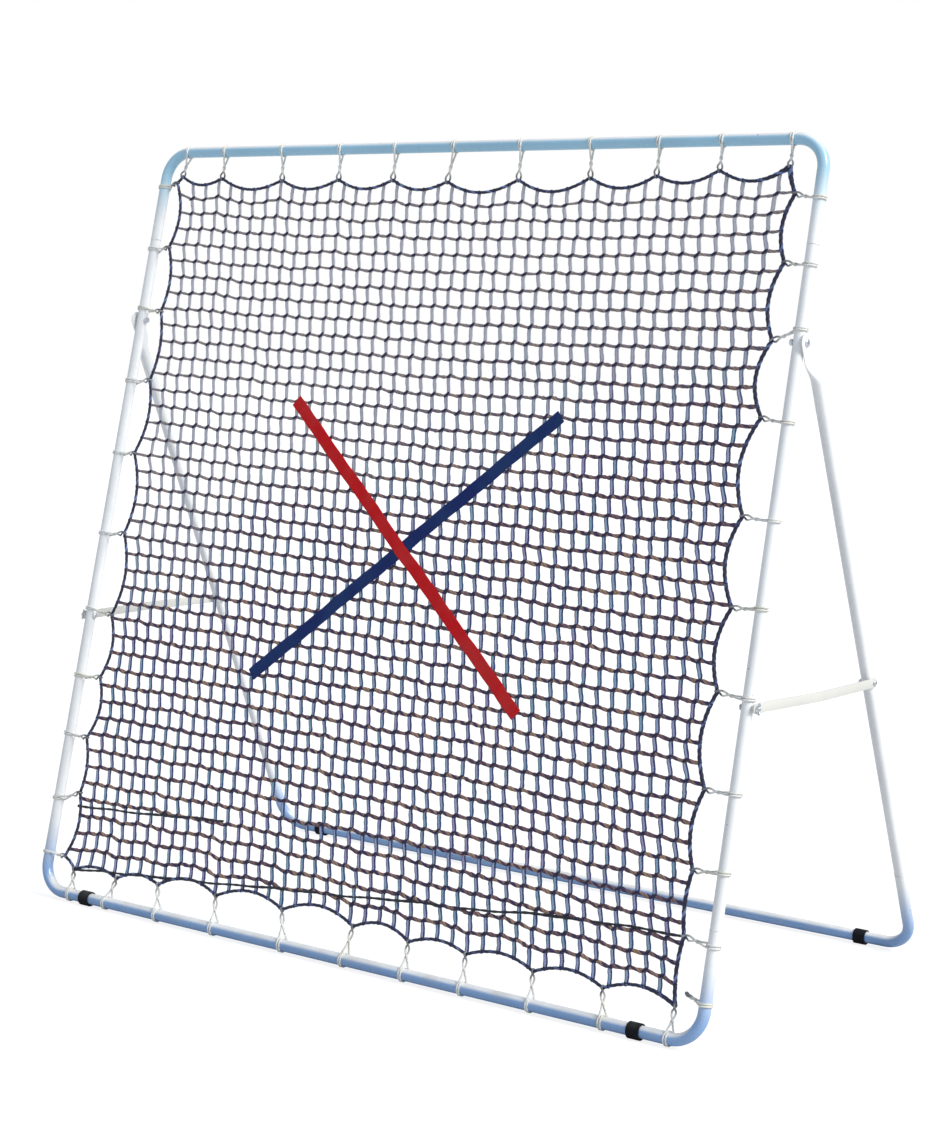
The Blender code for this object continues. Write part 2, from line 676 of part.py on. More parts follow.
def build():
    """Make every piece."""
    clear_scene()
    white_paint = make_material("white_paint", (0.86, 0.88, 0.90), 0.28)
    zinc = make_material("zinc", (0.62, 0.64, 0.66), 0.35, 1.0)
    nylon = make_material("white_nylon", (0.80, 0.80, 0.78), 0.45)
    rubber = make_material("black_rubber", (0.02, 0.02, 0.025), 0.75)
    net_cord = make_material("navy_cord", (0.03, 0.035, 0.12), 0.80)
    tie_cord = make_material("white_elastic", (0.75, 0.74, 0.72), 0.70)
    red_web = make_material("red_webbing", (0.55, 0.02, 0.03), 0.70)
    navy_web = make_material("navy_webbing", (0.02, 0.04, 0.14), 0.70)

    frame = add_empty("frame_axis", (0.0, FRONT_BAR_Y, BAR_HEIGHT), -LEAN)
    stand = add_empty("stand_axis", (0.0, PIVOT_Y, PIVOT_Z), LEG_ANGLE)

    make_bow("bottom_bow", frame, HALF_WIDTH, BOW_ARM, white_paint)
    make_bow("top_bow", frame, HALF_WIDTH, BOW_ARM, white_paint, FRAME_HEIGHT, upside_down=True)
    make_bow("rear_bow", stand, HALF_WIDTH + LEG_OUT, REAR_BOW_ARM, white_paint, -LEG_LENGTH)

    pivot = (0.0, PIVOT_UP)
    stud = (0.0, STAY_STUD_UP)
    stay_bolt = (0.0, -STAY_BOLT_DOWN)
    for side, word in ((-1, "left"), (1, "right")):
        make_upright(side, frame, white_paint)
        make_leg(side, stand, white_paint)

        tube_out = HALF_WIDTH + TUBE_R + RUNNING_GAP
        tube_in = HALF_WIDTH - TUBE_R - RUNNING_GAP
        make_spacer(f"{word}_pivot_spacer", frame, side, tube_out, PIVOT_SPACER_THICK,
                    PIVOT_SPACER_DIAMETER, PIVOT_BOLT_DIAMETER, pivot, nylon)
        make_bolt(f"{word}_pivot_bolt", frame, side, PIVOT_BOLT_DIAMETER,
                  HALF_WIDTH + PADDLE_IN + PADDLE_THICK + GAP,
                  tube_in - NUT_HEIGHT - THREAD_PAST_NUT, pivot, zinc)
        make_nut(f"{word}_pivot_nut", frame, side, tube_in - NUT_HEIGHT,
                 PIVOT_BOLT_DIAMETER, pivot, zinc)

        make_spacer(f"{word}_stud_spacer", frame, side, tube_out, STUD_SPACER_THICK,
                    STUD_SPACER_DIAMETER, STAY_BOLT_DIAMETER, stud, nylon)
        make_bolt(f"{word}_stay_stud", frame, side, STAY_BOLT_DIAMETER, tube_in,
                  HALF_WIDTH + WING_IN + WING_HUB_HEIGHT + THREAD_PAST_NUT, stud, zinc)
        wing_axis = add_empty(f"{word}_wing_axis",
                              (side * (HALF_WIDTH + WING_IN), 0.0, STAY_STUD_UP), 0.0, frame)
        make_wing_nut(side, wing_axis, zinc)

        leg_in = HALF_WIDTH + LEG_OUT - TUBE_R - RUNNING_GAP
        make_bolt(f"{word}_stay_bolt", stand, side, STAY_BOLT_DIAMETER,
                  HALF_WIDTH + STAY_OUT + STAY_THICK + GAP,
                  leg_in - NUT_HEIGHT - THREAD_PAST_NUT, stay_bolt, zinc)
        make_nut(f"{word}_stay_nut", stand, side, leg_in - NUT_HEIGHT,
                 STAY_BOLT_DIAMETER, stay_bolt, zinc)
        stay_axis = add_empty(f"{word}_stay_axis", (0.0, 0.0, -STAY_BOLT_DOWN),
                              STAY_ANGLE - LEG_ANGLE, stand)
        make_stay(side, stay_axis, white_paint)

        make_foot(f"front_{word}_foot", frame, side * (HALF_WIDTH - FRONT_FOOT_IN), LEAN, rubber)
        rear_foot = make_foot(f"rear_{word}_foot", stand,
                              side * (HALF_WIDTH + LEG_OUT - REAR_FOOT_IN), -LEG_ANGLE, rubber)
        rear_foot.location = (0.0, 0.0, -LEG_LENGTH)

    make_net(frame, net_cord)
    make_edges(frame, tie_cord)
    make_strap("navy_strap", frame, True, False, navy_web)
    make_strap("red_strap", frame, False, True, red_web)


build()
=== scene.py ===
import json
import math

import bpy
import numpy as np
from mathutils import Matrix, Vector


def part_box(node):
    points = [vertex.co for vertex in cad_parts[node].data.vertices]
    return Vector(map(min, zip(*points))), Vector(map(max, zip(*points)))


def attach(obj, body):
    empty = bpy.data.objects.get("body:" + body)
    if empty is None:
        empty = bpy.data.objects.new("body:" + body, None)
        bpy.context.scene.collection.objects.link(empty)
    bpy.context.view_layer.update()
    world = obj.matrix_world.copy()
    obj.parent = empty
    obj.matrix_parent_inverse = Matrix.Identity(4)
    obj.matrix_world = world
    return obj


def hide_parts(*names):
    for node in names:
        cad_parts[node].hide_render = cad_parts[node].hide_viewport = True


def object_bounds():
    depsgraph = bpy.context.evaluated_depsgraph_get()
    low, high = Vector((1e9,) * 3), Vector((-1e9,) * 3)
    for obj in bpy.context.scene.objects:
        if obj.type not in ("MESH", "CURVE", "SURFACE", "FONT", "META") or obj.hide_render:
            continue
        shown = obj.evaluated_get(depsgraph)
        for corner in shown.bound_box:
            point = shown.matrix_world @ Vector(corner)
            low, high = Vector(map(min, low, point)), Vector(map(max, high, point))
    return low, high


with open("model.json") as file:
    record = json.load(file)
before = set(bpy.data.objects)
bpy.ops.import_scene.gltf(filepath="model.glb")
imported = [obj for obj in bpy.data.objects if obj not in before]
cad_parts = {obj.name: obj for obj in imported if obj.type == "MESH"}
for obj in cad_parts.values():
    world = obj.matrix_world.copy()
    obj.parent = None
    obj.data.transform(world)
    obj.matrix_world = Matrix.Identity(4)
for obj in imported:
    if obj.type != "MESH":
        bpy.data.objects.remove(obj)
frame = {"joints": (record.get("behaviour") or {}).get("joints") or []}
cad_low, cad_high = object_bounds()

scene = bpy.context.scene

# Camera
# It stands at chest height off the right front corner and looks slightly down, tipped a little.
# The picture is the left part of a wider one, so its centre is shifted off the lens's axis.
PICTURE_HEIGHT = 1140
CAMERA_PLACE = Vector((2.929, -4.019, 1.383))
CAMERA_AZIMUTH = math.radians(33.64)
CAMERA_ELEVATION = math.radians(4.145)
CAMERA_ROLL = math.radians(1.85)
LENS = 68.95
CENTRE_RIGHT = 92.4
CENTRE_UP = 85.1

away = Vector((math.sin(CAMERA_AZIMUTH) * math.cos(CAMERA_ELEVATION),
               -math.cos(CAMERA_AZIMUTH) * math.cos(CAMERA_ELEVATION),
               math.sin(CAMERA_ELEVATION)))
level = Vector((0.0, 0.0, 1.0)).cross(away).normalized()
upward = away.cross(level)
right = level * math.cos(CAMERA_ROLL) + upward * math.sin(CAMERA_ROLL)
top = upward * math.cos(CAMERA_ROLL) - level * math.sin(CAMERA_ROLL)

camera = bpy.data.objects.new("camera", bpy.data.cameras.new("camera"))
camera.matrix_world = (Matrix.Translation(CAMERA_PLACE)
                       @ Matrix((right, top, away)).transposed().to_4x4())
camera.data.lens = LENS
camera.data.shift_x = -CENTRE_RIGHT / PICTURE_HEIGHT
camera.data.shift_y = -CENTRE_UP / PICTURE_HEIGHT
scene.collection.objects.link(camera)
scene.camera = camera

# Front frame: a bottom bow, a top bow and two straight uprights
# Steel tube one inch across, bent cold and sprayed gloss white. Each bow's ends are drawn down to
# necks that plug into the uprights, which leaves a fine ring where the shoulders meet.
TUBE_RADIUS = 0.0127
TUBE_WALL = 0.0015
FRAME_HEIGHT = 1.800
CORNER_RADIUS = 0.065
BOW_ARM = 0.220
NECK_LENGTH = 0.050
NECK_FIT = 0.0003
LIP = 0.0006
BEND_OVAL = 0.035
TUBE_SIDES = 48
BEND_STEPS = 18
# Painted sky-blue shade on the white paint along the bars, for the low and the high ones; the paint's own
# white; and how far from a bar the painted shade reaches
SKY_SHADE_LOW = (0.26, 0.44, 0.74)
SKY_SHADE_HIGH = (0.39, 0.68, 0.86)
WARM_WHITE = (0.93, 0.94, 0.93)
SKY_SHADE_REACH = 0.20
CHIP_GREY = (0.20, 0.21, 0.23)
DUST = (0.50, 0.46, 0.38)
CREASE = 40
SIDES = ((-1, "left"), (1, "right"))
X_WAY, Y_WAY, Z_WAY = np.eye(3)

front_bar = sum(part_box("front_left_foot"), Vector()) / 2
half_width = -sum(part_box("left_upright"), Vector()).x / 2
joints = {joint["name"]: joint for joint in frame["joints"]}
pivot = Vector(joints["stand_fold"]["pos_m"])
lean = math.atan2(pivot.y - front_bar.y, pivot.z - front_bar.z)
bore = TUBE_RADIUS - TUBE_WALL
neck_radius = bore - NECK_FIT
neck_bore = neck_radius - TUBE_WALL


def turned(points, at, angle):
    """Points turned by an angle about the line along X through a point, which is their origin."""
    x, y, z = np.moveaxis(np.asarray(points, float), -1, 0)
    return np.stack([x, at.y + y * math.cos(angle) - z * math.sin(angle),
                     at.z + y * math.sin(angle) + z * math.cos(angle)], axis=-1)


def on_front(points):
    """From the frame's own plane, x across and z up the uprights, to where it leans."""
    return turned(points, front_bar, -lean)


def once_round(sides):
    """Angles evenly round a circle."""
    return 2 * np.pi * np.arange(sides) / sides


def rings_round(centres, first, second, radius, sides):
    """Rings of a bar: centre + radius (first cos t + second sin t), for t once round."""
    way = once_round(sides)[:, None]
    radius = np.asarray(radius, float)
    if radius.shape != centres.shape[:-1] + (sides,):
        radius = np.broadcast_to(radius, centres.shape[:-1])[..., None]
    spokes = first[..., None, :] * np.cos(way) + second[..., None, :] * np.sin(way)
    return centres[..., None, :] + radius[..., None] * spokes


def distances(line):
    """How far along each line its points are, from zero at its start."""
    steps = np.linalg.norm(np.diff(line, axis=-2), axis=-1)
    return np.concatenate([0 * steps[..., :1], np.cumsum(steps, axis=-1)], axis=-1)


def shell(rings, looped=False, girth=1.0):
    """The skin over a row of rings: each cell of their grid is one face. The ends are closed by
    a fan to the ring's middle, or the last ring is joined to the first. The UV map is the
    distance along in metres, and the share of the way round times the girth."""
    rings = rings.reshape(-1, *rings.shape[-3:])
    copies, stations, sides, _ = rings.shape
    middles = rings.mean(axis=2)
    along = distances(np.concatenate([middles, middles[:, :1]], axis=1) if looped else middles)
    widths = np.linalg.norm(np.roll(rings[0], -1, axis=1) - rings[0], axis=2).mean(axis=0)
    around = girth * np.concatenate([[0.0], np.cumsum(widths)]) / widths.sum()
    copy, i, j = np.indices((copies, along.shape[1] - 1, sides))
    near = (copy * stations + i) * sides
    far = (copy * stations + (i + 1) % stations) * sides
    quads = np.stack([near + j, near + (j + 1) % sides, far + (j + 1) % sides, far + j], axis=-1)
    u = np.stack([along[copy, i], along[copy, i], along[copy, i + 1], along[copy, i + 1]], axis=-1)
    v = np.stack([around[j], around[j + 1], around[j + 1], around[j]], axis=-1)
    points = rings.reshape(-1, 3)
    faces, places = [quads.reshape(-1, 4)], [np.stack([u, v], axis=-1).reshape(-1, 4, 2)]
    if not looped:
        copy, j = np.indices((copies, sides))
        for station, way in ((0, 1), (stations - 1, -1)):
            edge = (copy * stations + station) * sides
            fan = np.stack([edge + (j + 1) % sides, edge + j, len(points) + copy], axis=-1)
            u = np.repeat(along[copy, station][..., None], 3, axis=-1)
            v = np.stack([around[j + 1], around[j], around[j]], axis=-1)
            faces.append(fan.reshape(-1, 3)[:, ::way])
            places.append(np.stack([u, v], axis=-1).reshape(-1, 3, 2)[:, ::way])
            points = np.concatenate([points, middles[:, station]])
    return points, faces, places


def volume(points, faces):
    """Six times the space that the faces enclose, which is negative where they point inwards."""
    total = 0.0
    for group in faces:
        corner = points[group]
        for k in range(1, group.shape[1] - 1):
            total += np.einsum("ij,ij->", corner[:, 0], np.cross(corner[:, k], corner[:, k + 1]))
    return total


def add_piece(name, shells, finish, nodes, body="frame", place=on_front, crease=CREASE):
    """Join shells into one mesh with its faces out, and fix it to the body that it moves with."""
    points, faces, places, count = [], [], [], 0
    for shell_points, shell_faces, shell_places in shells:
        world = place(shell_points)
        way = -1 if volume(world - world.mean(axis=0), shell_faces) < 0 else 1
        for group, spread in zip(shell_faces, shell_places):
            faces += (group[:, ::way] + count).tolist()
            places.append(spread[:, ::way].reshape(-1, 2))
        points.append(world)
        count += len(world)
    mesh = bpy.data.meshes.new(name)
    mesh.from_pydata(np.concatenate(points), [], faces)
    mesh.uv_layers.new(name="lay").data.foreach_set("uv", np.concatenate(places).ravel())
    mesh.shade_smooth()
    mesh.set_sharp_from_angle(angle=math.radians(crease))
    mesh.materials.append(finish)
    piece = bpy.data.objects.new(name, mesh)
    scene.collection.objects.link(piece)
    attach(piece, body)
    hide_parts(*nodes)
    return piece


def wire(tree, node, inputs):
    """Set a node's inputs: each is a number, a colour or another node's output."""
    for key, value in inputs.items():
        socket = node.inputs[key]
        if isinstance(value, bpy.types.NodeSocket):
            tree.links.new(value, socket)
        else:
            socket.default_value = (*value, 1.0) if socket.type == "RGBA" else value


def add_node(tree, kind, inputs, **settings):
    """A new shader node's outputs, with its settings and inputs set."""
    node = tree.nodes.new("ShaderNode" + kind)
    for name, value in settings.items():
        setattr(node, name, value)
    wire(tree, node, inputs)
    return node.outputs


def reckon(tree, operation, *values):
    """The result of one sum on numbers or other nodes' outputs."""
    return add_node(tree, "Math", dict(enumerate(values)), operation=operation)[0]


def product(tree, value, *others):
    """A value times one or more others."""
    for other in others:
        value = reckon(tree, "MULTIPLY", value, other)
    return value


def parts(tree, vector):
    """A vector's x, y and z."""
    return add_node(tree, "SeparateXYZ", {0: vector})


def blend_colour(tree, share, low, high):
    """A colour between two others."""
    return add_node(tree, "Mix", {0: share, 6: low, 7: high}, data_type="RGBA")[2]


def shade_colour(tree, colour, share):
    """A colour times a share of its light."""
    return add_node(tree, "Mix", {0: 1.0, 6: colour, 7: share}, data_type="RGBA",
                    blend_type="MULTIPLY")[2]


def spread_over(tree, value, low, high, to_low=0.0, to_high=1.0):
    """A value's range from low to high, eased onto another range and held there."""
    return add_node(tree, "MapRange", {0: value, 1: low, 2: high, 3: to_low, 4: to_high},
                    interpolation_type="SMOOTHSTEP")[0]


def mottle(tree, place, scale, detail, *span):
    """Soft random patches, from 0 to 1, or spread over a range as above."""
    patches = add_node(tree, "TexNoise", {"Vector": place, "Scale": scale, "Detail": detail})[0]
    return spread_over(tree, patches, *span) if span else patches


def new_group(name, inputs, outputs):
    """An empty node group with its named sockets, and its two ends."""
    group = bpy.data.node_groups.new(name, "ShaderNodeTree")
    for socket, kind in inputs.items():
        group.interface.new_socket(socket, in_out="INPUT", socket_type="NodeSocket" + kind)
    for socket in outputs:
        group.interface.new_socket(socket, in_out="OUTPUT", socket_type="NodeSocketFloat")
    return group, group.nodes.new("NodeGroupInput").outputs, group.nodes.new("NodeGroupOutput")


def make_settled_dust():
    """Dust lies in patches, more on what faces up and more near the ground."""
    group, given, result = new_group("settled_dust", {"Place": "Vector", "Amount": "Float"}, ["Mask"])
    low = spread_over(group, parts(group, given["Place"])[2], 0.55, 0.0, 0.25, 1.0)
    normal = add_node(group, "NewGeometry", {})["Normal"]
    up = spread_over(group, parts(group, normal)[2], -0.2, 1.0, 0.15, 1.0)
    patches = mottle(group, given["Place"], 22.0, 6.0, 0.38, 0.72)
    wire(group, result, {"Mask": product(group, low, up, given["Amount"], patches)})
    return group


def make_fine_grain():
    """Two sizes of soft pebbling, as sprayed or moulded skins have, and slow changes of tone."""
    group, given, result = new_group("fine_grain", {"Place": "Vector", "Scale": "Float"},
                                     ["Height", "Tone"])
    fine, coarse, tone = (mottle(group, given["Place"], product(group, given["Scale"], share), detail)
                          for share, detail in ((1.0, 2.0), (0.23, 1.0), (0.012, 3.0)))
    both = reckon(group, "ADD", product(group, fine, 0.6), product(group, coarse, 0.4))
    wire(group, result, {"Height": both, "Tone": tone})
    return group


settled_dust = make_settled_dust()
fine_grain = make_fine_grain()


def new_finish(name):
    """A material, its node tree, its shader, the place on the piece and the UV map."""
    material = bpy.data.materials.new(name)
    material.use_nodes = True
    tree = material.node_tree
    coordinates = add_node(tree, "TexCoord", {})
    return material, tree, tree.nodes["Principled BSDF"], coordinates["Object"], coordinates["UV"]


def place_group(tree, group, **inputs):
    """A node group's outputs in a material, with its inputs set."""
    return add_node(tree, "Group", inputs, node_tree=group)


def relief(tree, height, strength, distance):
    """The normal of a surface raised by a height."""
    return add_node(tree, "Bump", {"Strength": strength, "Distance": distance, "Height": height})[0]


def make_paint(name, sky_shade_low, sky_shade_high, warm_white):
    """Sprayed gloss paint, faintly pebbled, with pin-sized chips and dust low down. Along the bars
    its white carries a painted sky-blue shade, darker low down than high up, which gives way to the
    paint's own warm white up the uprights and legs; what faces up takes that white too, as painted
    sunlight."""
    material, tree, shader, place, _ = new_finish(name)
    grain = place_group(tree, fine_grain, Place=place, Scale=520.0)
    up = parts(tree, place)[2]
    from_bar = reckon(tree, "MINIMUM", up, reckon(tree, "SUBTRACT", cad_high[2], up))
    facing = parts(tree, add_node(tree, "NewGeometry", {})["Normal"])[2]
    # Painted sunlight: what faces up gets the paint's own white, as does what lies away from the bars
    own_white_or_sunlit = reckon(tree, "MAXIMUM", spread_over(tree, from_bar, 0.04, SKY_SHADE_REACH),
                  spread_over(tree, facing, 0.35, 0.85))
    # Painted sky-blue shade along the bars, darker on the low ones
    painted_sky_shade = blend_colour(tree, spread_over(tree, up, 0.3, 1.5), sky_shade_low, sky_shade_high)
    tone = spread_over(tree, grain["Tone"], 0.3, 0.7, 0.90, 1.0)
    colour = shade_colour(tree, blend_colour(tree, own_white_or_sunlit, painted_sky_shade, warm_white), tone)
    chips = mottle(tree, place, 95.0, 4.0, 0.735, 0.76)
    dust = place_group(tree, settled_dust, Place=place, Amount=0.35)["Mask"]
    rough = mottle(tree, place, 30.0, 3.0, 0.3, 0.7, 0.20, 0.36)
    wire(tree, shader, {
        "Base Color": blend_colour(tree, dust, blend_colour(tree, chips, colour, CHIP_GREY), DUST),
        "Roughness": reckon(tree, "ADD", rough, product(tree, dust, 0.4)),
        "Coat Weight": 0.3, "Coat Roughness": 0.12,
        "Normal": relief(tree, reckon(tree, "SUBTRACT", grain["Height"], chips), 0.35, 0.0002)})
    return material


sky_shaded_white_paint = make_paint("sky_shaded_white_gloss_paint", SKY_SHADE_LOW, SKY_SHADE_HIGH, WARM_WHITE)


def bow_line(distance, half):
    """A U drawn from the middle of its bar: straight to the corner, a quarter circle, then up the
    arm. Gives its points, the way to its inside and the angle that it has turned through."""
    side, run = np.sign(distance), np.abs(distance)
    straight = half - CORNER_RADIUS
    bend = np.clip((run - straight) / CORNER_RADIUS, 0, np.pi / 2)
    rise = np.maximum(run - straight - CORNER_RADIUS * np.pi / 2, 0)
    x = side * (np.minimum(run, straight) + CORNER_RADIUS * np.sin(bend))
    z = CORNER_RADIUS * (1 - np.cos(bend)) + rise
    inside = np.stack([-side * np.sin(bend), 0 * x, np.cos(bend)], axis=-1)
    return np.stack([x, 0 * x, z], axis=-1), inside, bend


def quarter_round(size, count=5):
    """How far back from the end, and in from the side, a rounded edge is, from the end's face."""
    angle = np.linspace(0, np.pi / 2, count)
    return size * (1 - np.sin(angle)), size * (1 - np.cos(angle))


def sleeve_profile(low, high, radius, hole, back, inward):
    """Along the outside of a sleeve with rounded lips, and back down its bore."""
    return (np.concatenate([low + back, high - back[::-1], [high, low]]),
            np.concatenate([radius - inward, radius - inward[::-1], [hole, hole]]))


def bow_shell(half, arm):
    """A tube carried round the U and back inside itself. Each arm ends in a neck, and a bend is
    a little flatter across than the straight tube, most at its middle."""
    straight, quarter = half - CORNER_RADIUS, CORNER_RADIUS * np.pi / 2
    shoulder = straight + quarter + arm - CORNER_RADIUS - NECK_FIT
    back, inward = quarter_round(LIP)
    run = np.concatenate([[0.0], straight + quarter * np.linspace(0, 1, BEND_STEPS),
                          shoulder - back[::-1], [shoulder, shoulder + NECK_LENGTH]])
    run = np.concatenate([-run[:0:-1], run])
    radius = np.concatenate([np.full(1 + BEND_STEPS, TUBE_RADIUS), TUBE_RADIUS - inward[::-1],
                             [neck_radius, neck_radius]])
    radius = np.concatenate([radius[:0:-1], radius, np.full(len(run), neck_bore)])
    points, inside, bend = bow_line(np.concatenate([run, run[::-1]]), half)
    flat = BEND_OVAL * np.sin(2 * bend)[:, None]
    rings = rings_round(points, inside * (1 - flat), Y_WAY * (1 + flat), radius, TUBE_SIDES)
    return shell(rings, looped=True)


def upside_down(points):
    """The bottom bow's place turned over onto the uprights' upper ends."""
    return on_front(points * [1, 1, -1] + [0, 0, FRAME_HEIGHT])


def tube_shell(x, low, high):
    """A straight tube up z with softened lips: up its outside and back down its bore."""
    up, radius = sleeve_profile(low, high, TUBE_RADIUS, bore, *quarter_round(LIP))
    centres = np.stack([0 * up + x, 0 * up, up], axis=-1)
    return shell(rings_round(centres, X_WAY, Y_WAY, radius, TUBE_SIDES), looped=True)


add_piece("bottom_bow_tube", [bow_shell(half_width, BOW_ARM)], sky_shaded_white_paint, ["bottom_bow"])
add_piece("top_bow_tube", [bow_shell(half_width, BOW_ARM)], sky_shaded_white_paint, ["top_bow"],
          place=upside_down)
for side, word in SIDES:
    add_piece(f"{word}_upright_tube", [tube_shell(side * half_width, BOW_ARM, FRAME_HEIGHT - BOW_ARM)],
              sky_shaded_white_paint, [f"{word}_upright"])

# Rear stand: two legs and a rear bow
# The same tube. Each leg's upper end is pressed flat, rounded and drilled for the pivot bolt, and
# its lower end takes the rear bow's neck.
LEG_OUT = 0.0269
REAR_BOW_ARM = 0.200
PRESSED_THICK = 0.004
PRESSED_WIDTH = 0.037
PRESSED_LENGTH = 0.036
PRESSED_TAPER = 0.050
PRESSED_SQUARENESS = 0.65
PRESSED_IN = 0.0142
rear_bar = sum(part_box("rear_left_foot"), Vector()) / 2
leg_angle = math.atan2(rear_bar.y - pivot.y, pivot.z - rear_bar.z)
leg_length = math.hypot(rear_bar.y - pivot.y, pivot.z - rear_bar.z)


def on_stand(points):
    """From the stand's own plane, z up the legs from the pivots, to where it slopes."""
    return turned(points, pivot, leg_angle)


def on_rear_bar(points):
    """From the rear bow's own plane to the foot of the legs."""
    return on_stand(points - [0, 0, leg_length])


def leg_shell(side):
    """Half thicknesses go from the tube's radius to the pressed end's by an eased share, while
    the outline goes from a circle to a box with round corners and its inner side stays flush."""
    back, inward = quarter_round(LIP)
    eased = np.linspace(0, 1, 20)
    round_off = np.linspace(np.radians(6), np.radians(86), 14)
    up = np.concatenate([REAR_BOW_ARM - leg_length + back,
                         -PRESSED_LENGTH - PRESSED_TAPER * (1 - eased),
                         PRESSED_WIDTH / 2 * np.sin(round_off)])
    share = np.concatenate([0 * back, eased * eased * (3 - 2 * eased), 1 + 0 * round_off])
    lip = np.concatenate([1 - inward / TUBE_RADIUS, 1 + 0 * eased])
    width = np.concatenate([lip, np.cos(round_off)])
    edge = np.concatenate([lip, 1 - 0.25 * (1 - np.cos(round_off)) ** 3])
    middle = half_width + LEG_OUT + share * (PRESSED_IN + PRESSED_THICK / 2 - LEG_OUT)
    thick = (TUBE_RADIUS + share * (PRESSED_THICK / 2 - TUBE_RADIUS)) * edge
    wide = (TUBE_RADIUS + share * (PRESSED_WIDTH / 2 - TUBE_RADIUS)) * width
    way = once_round(TUBE_SIDES)
    bulge = np.sign(np.cos(way)) * np.abs(np.cos(way)) ** (1 - PRESSED_SQUARENESS * share[:, None])
    return shell(np.stack([side * (middle[:, None] + bulge * thick[:, None]),
                           np.sin(way) * wide[:, None], up[:, None] + 0 * bulge], axis=-1))


for side, word in SIDES:
    add_piece(f"{word}_leg_tube", [leg_shell(side)], sky_shaded_white_paint, [f"{word}_leg"],
              body="stand", place=on_stand)
add_piece("rear_bow_tube", [bow_shell(half_width + LEG_OUT, REAR_BOW_ARM)], sky_shaded_white_paint,
          ["rear_bow"], body="stand", place=on_rear_bar)

# Stays: two flat bars that hold the stand open
# Flat steel, eased at the edges and sprayed a creamier white than the tubes; that it is darker than
# their white is painted shade, which keeps its lit face off pure white. The rear end is bolted to
# the leg; the front end jogs in beside the upright and hooks over the stud by an open slot.
STAY_STUD_UP = 0.652
STAY_TURN_RATIO = 2.0
STAY_HEIGHT = 0.020
STAY_THICK = 0.003
STAY_END = 0.011
STAY_EDGE = 0.0006
STAY_OUT = 0.0399
PAD_OUT = 0.01745
PAD_LENGTH = 0.034
JOG_LENGTH = 0.195
JOG_EASING = 0.15
SMALL_BOLT = 0.006
SLOT_CLEARANCE = 0.0006
# A darker cream than the tubes' white, as painted shade
STAY_SHADED_CREAM = (0.72, 0.705, 0.65)
stay_pin = Vector(joints["left_stay_swing"]["pos_m"])
stud_line = on_front([0.0, 0.0, STAY_STUD_UP])
stay_reach = math.hypot(stay_pin.y - stud_line[1], stay_pin.z - stud_line[2])
stay_angle = math.atan2(stay_pin.z - stud_line[2], stay_pin.y - stud_line[1])


def on_stay(points):
    """From a stay's own plane, its rear bolt at the origin and its front end along -y."""
    return turned(points, stay_pin, stay_angle)


def stay_shell(side):
    """A rectangle with round corners carried along the bar: its height closes in a half circle at
    each end, and its place out from the upright eases in over the jog."""
    end = np.radians(np.linspace(86, 0, 12))
    jog = stay_reach - PAD_LENGTH - JOG_LENGTH
    along = np.concatenate([-STAY_END * np.sin(end), np.linspace(0.03, jog, 6),
                            stay_reach - PAD_LENGTH - JOG_LENGTH * np.linspace(0.95, 0, 16),
                            stay_reach + STAY_END * np.sin(end[::-1])])
    tall = np.concatenate([np.cos(end), np.ones(len(along) - 2 * len(end)), np.cos(end[::-1])])
    share = np.clip((along - jog) / JOG_LENGTH, 0, 1)
    share = (1 - JOG_EASING) * share + JOG_EASING * share * share * (3 - 2 * share)
    inner = half_width + STAY_OUT + share * (PAD_OUT - STAY_OUT)
    way = np.radians([0, 45, 90, 90, 135, 180, 180, 225, 270, 270, 315, 360])
    corner = np.radians(np.repeat([45, 135, 225, 315], 3))
    right_way, up_way = np.sign(np.cos(corner)), np.sign(np.sin(corner))
    half = np.maximum(STAY_HEIGHT / 2 * tall - STAY_EDGE, 0.0001)[:, None]
    x = (inner[:, None] + STAY_THICK / 2 + right_way * (STAY_THICK / 2 - STAY_EDGE)
         + STAY_EDGE * np.cos(way))
    z = up_way * half + STAY_EDGE * np.sin(way)
    return shell(np.stack([side * x, 0 * x - along[:, None], z], axis=-1))


def slot_shell(side):
    """The way the stud leaves the hook, as a round-bottomed slot: the stud's place in the stay's
    plane before and just after the stand starts to fold gives its direction."""
    pin, hinge, stud = (complex(y, z) for y, z in (stay_pin.yz, pivot.yz, stud_line[1:]))
    fold = np.radians([0.0, 1.0])
    from_pin = (stud - hinge - (pin - hinge) * np.exp(-1j * fold)) * np.exp(
        1j * ((1 + STAY_TURN_RATIO) * fold - stay_angle))
    leaving = (from_pin[1] - from_pin[0]) / abs(from_pin[1] - from_pin[0])
    radius = SMALL_BOLT / 2 + SLOT_CLEARANCE
    round_end = from_pin[0] - 1j * leaving * radius * np.exp(-1j * np.linspace(0, np.pi, 17))
    mouth = from_pin[0] + leaving * (2 * STAY_HEIGHT + 1j * radius * np.array([1, -1]))
    outline = np.concatenate([round_end, mouth])
    out = np.array([[PAD_OUT - STAY_THICK], [STAY_OUT + 2 * STAY_THICK]])
    return shell(np.stack([side * (half_width + out) + 0 * outline.real, outline.real + 0 * out,
                           outline.imag + 0 * out], axis=-1))


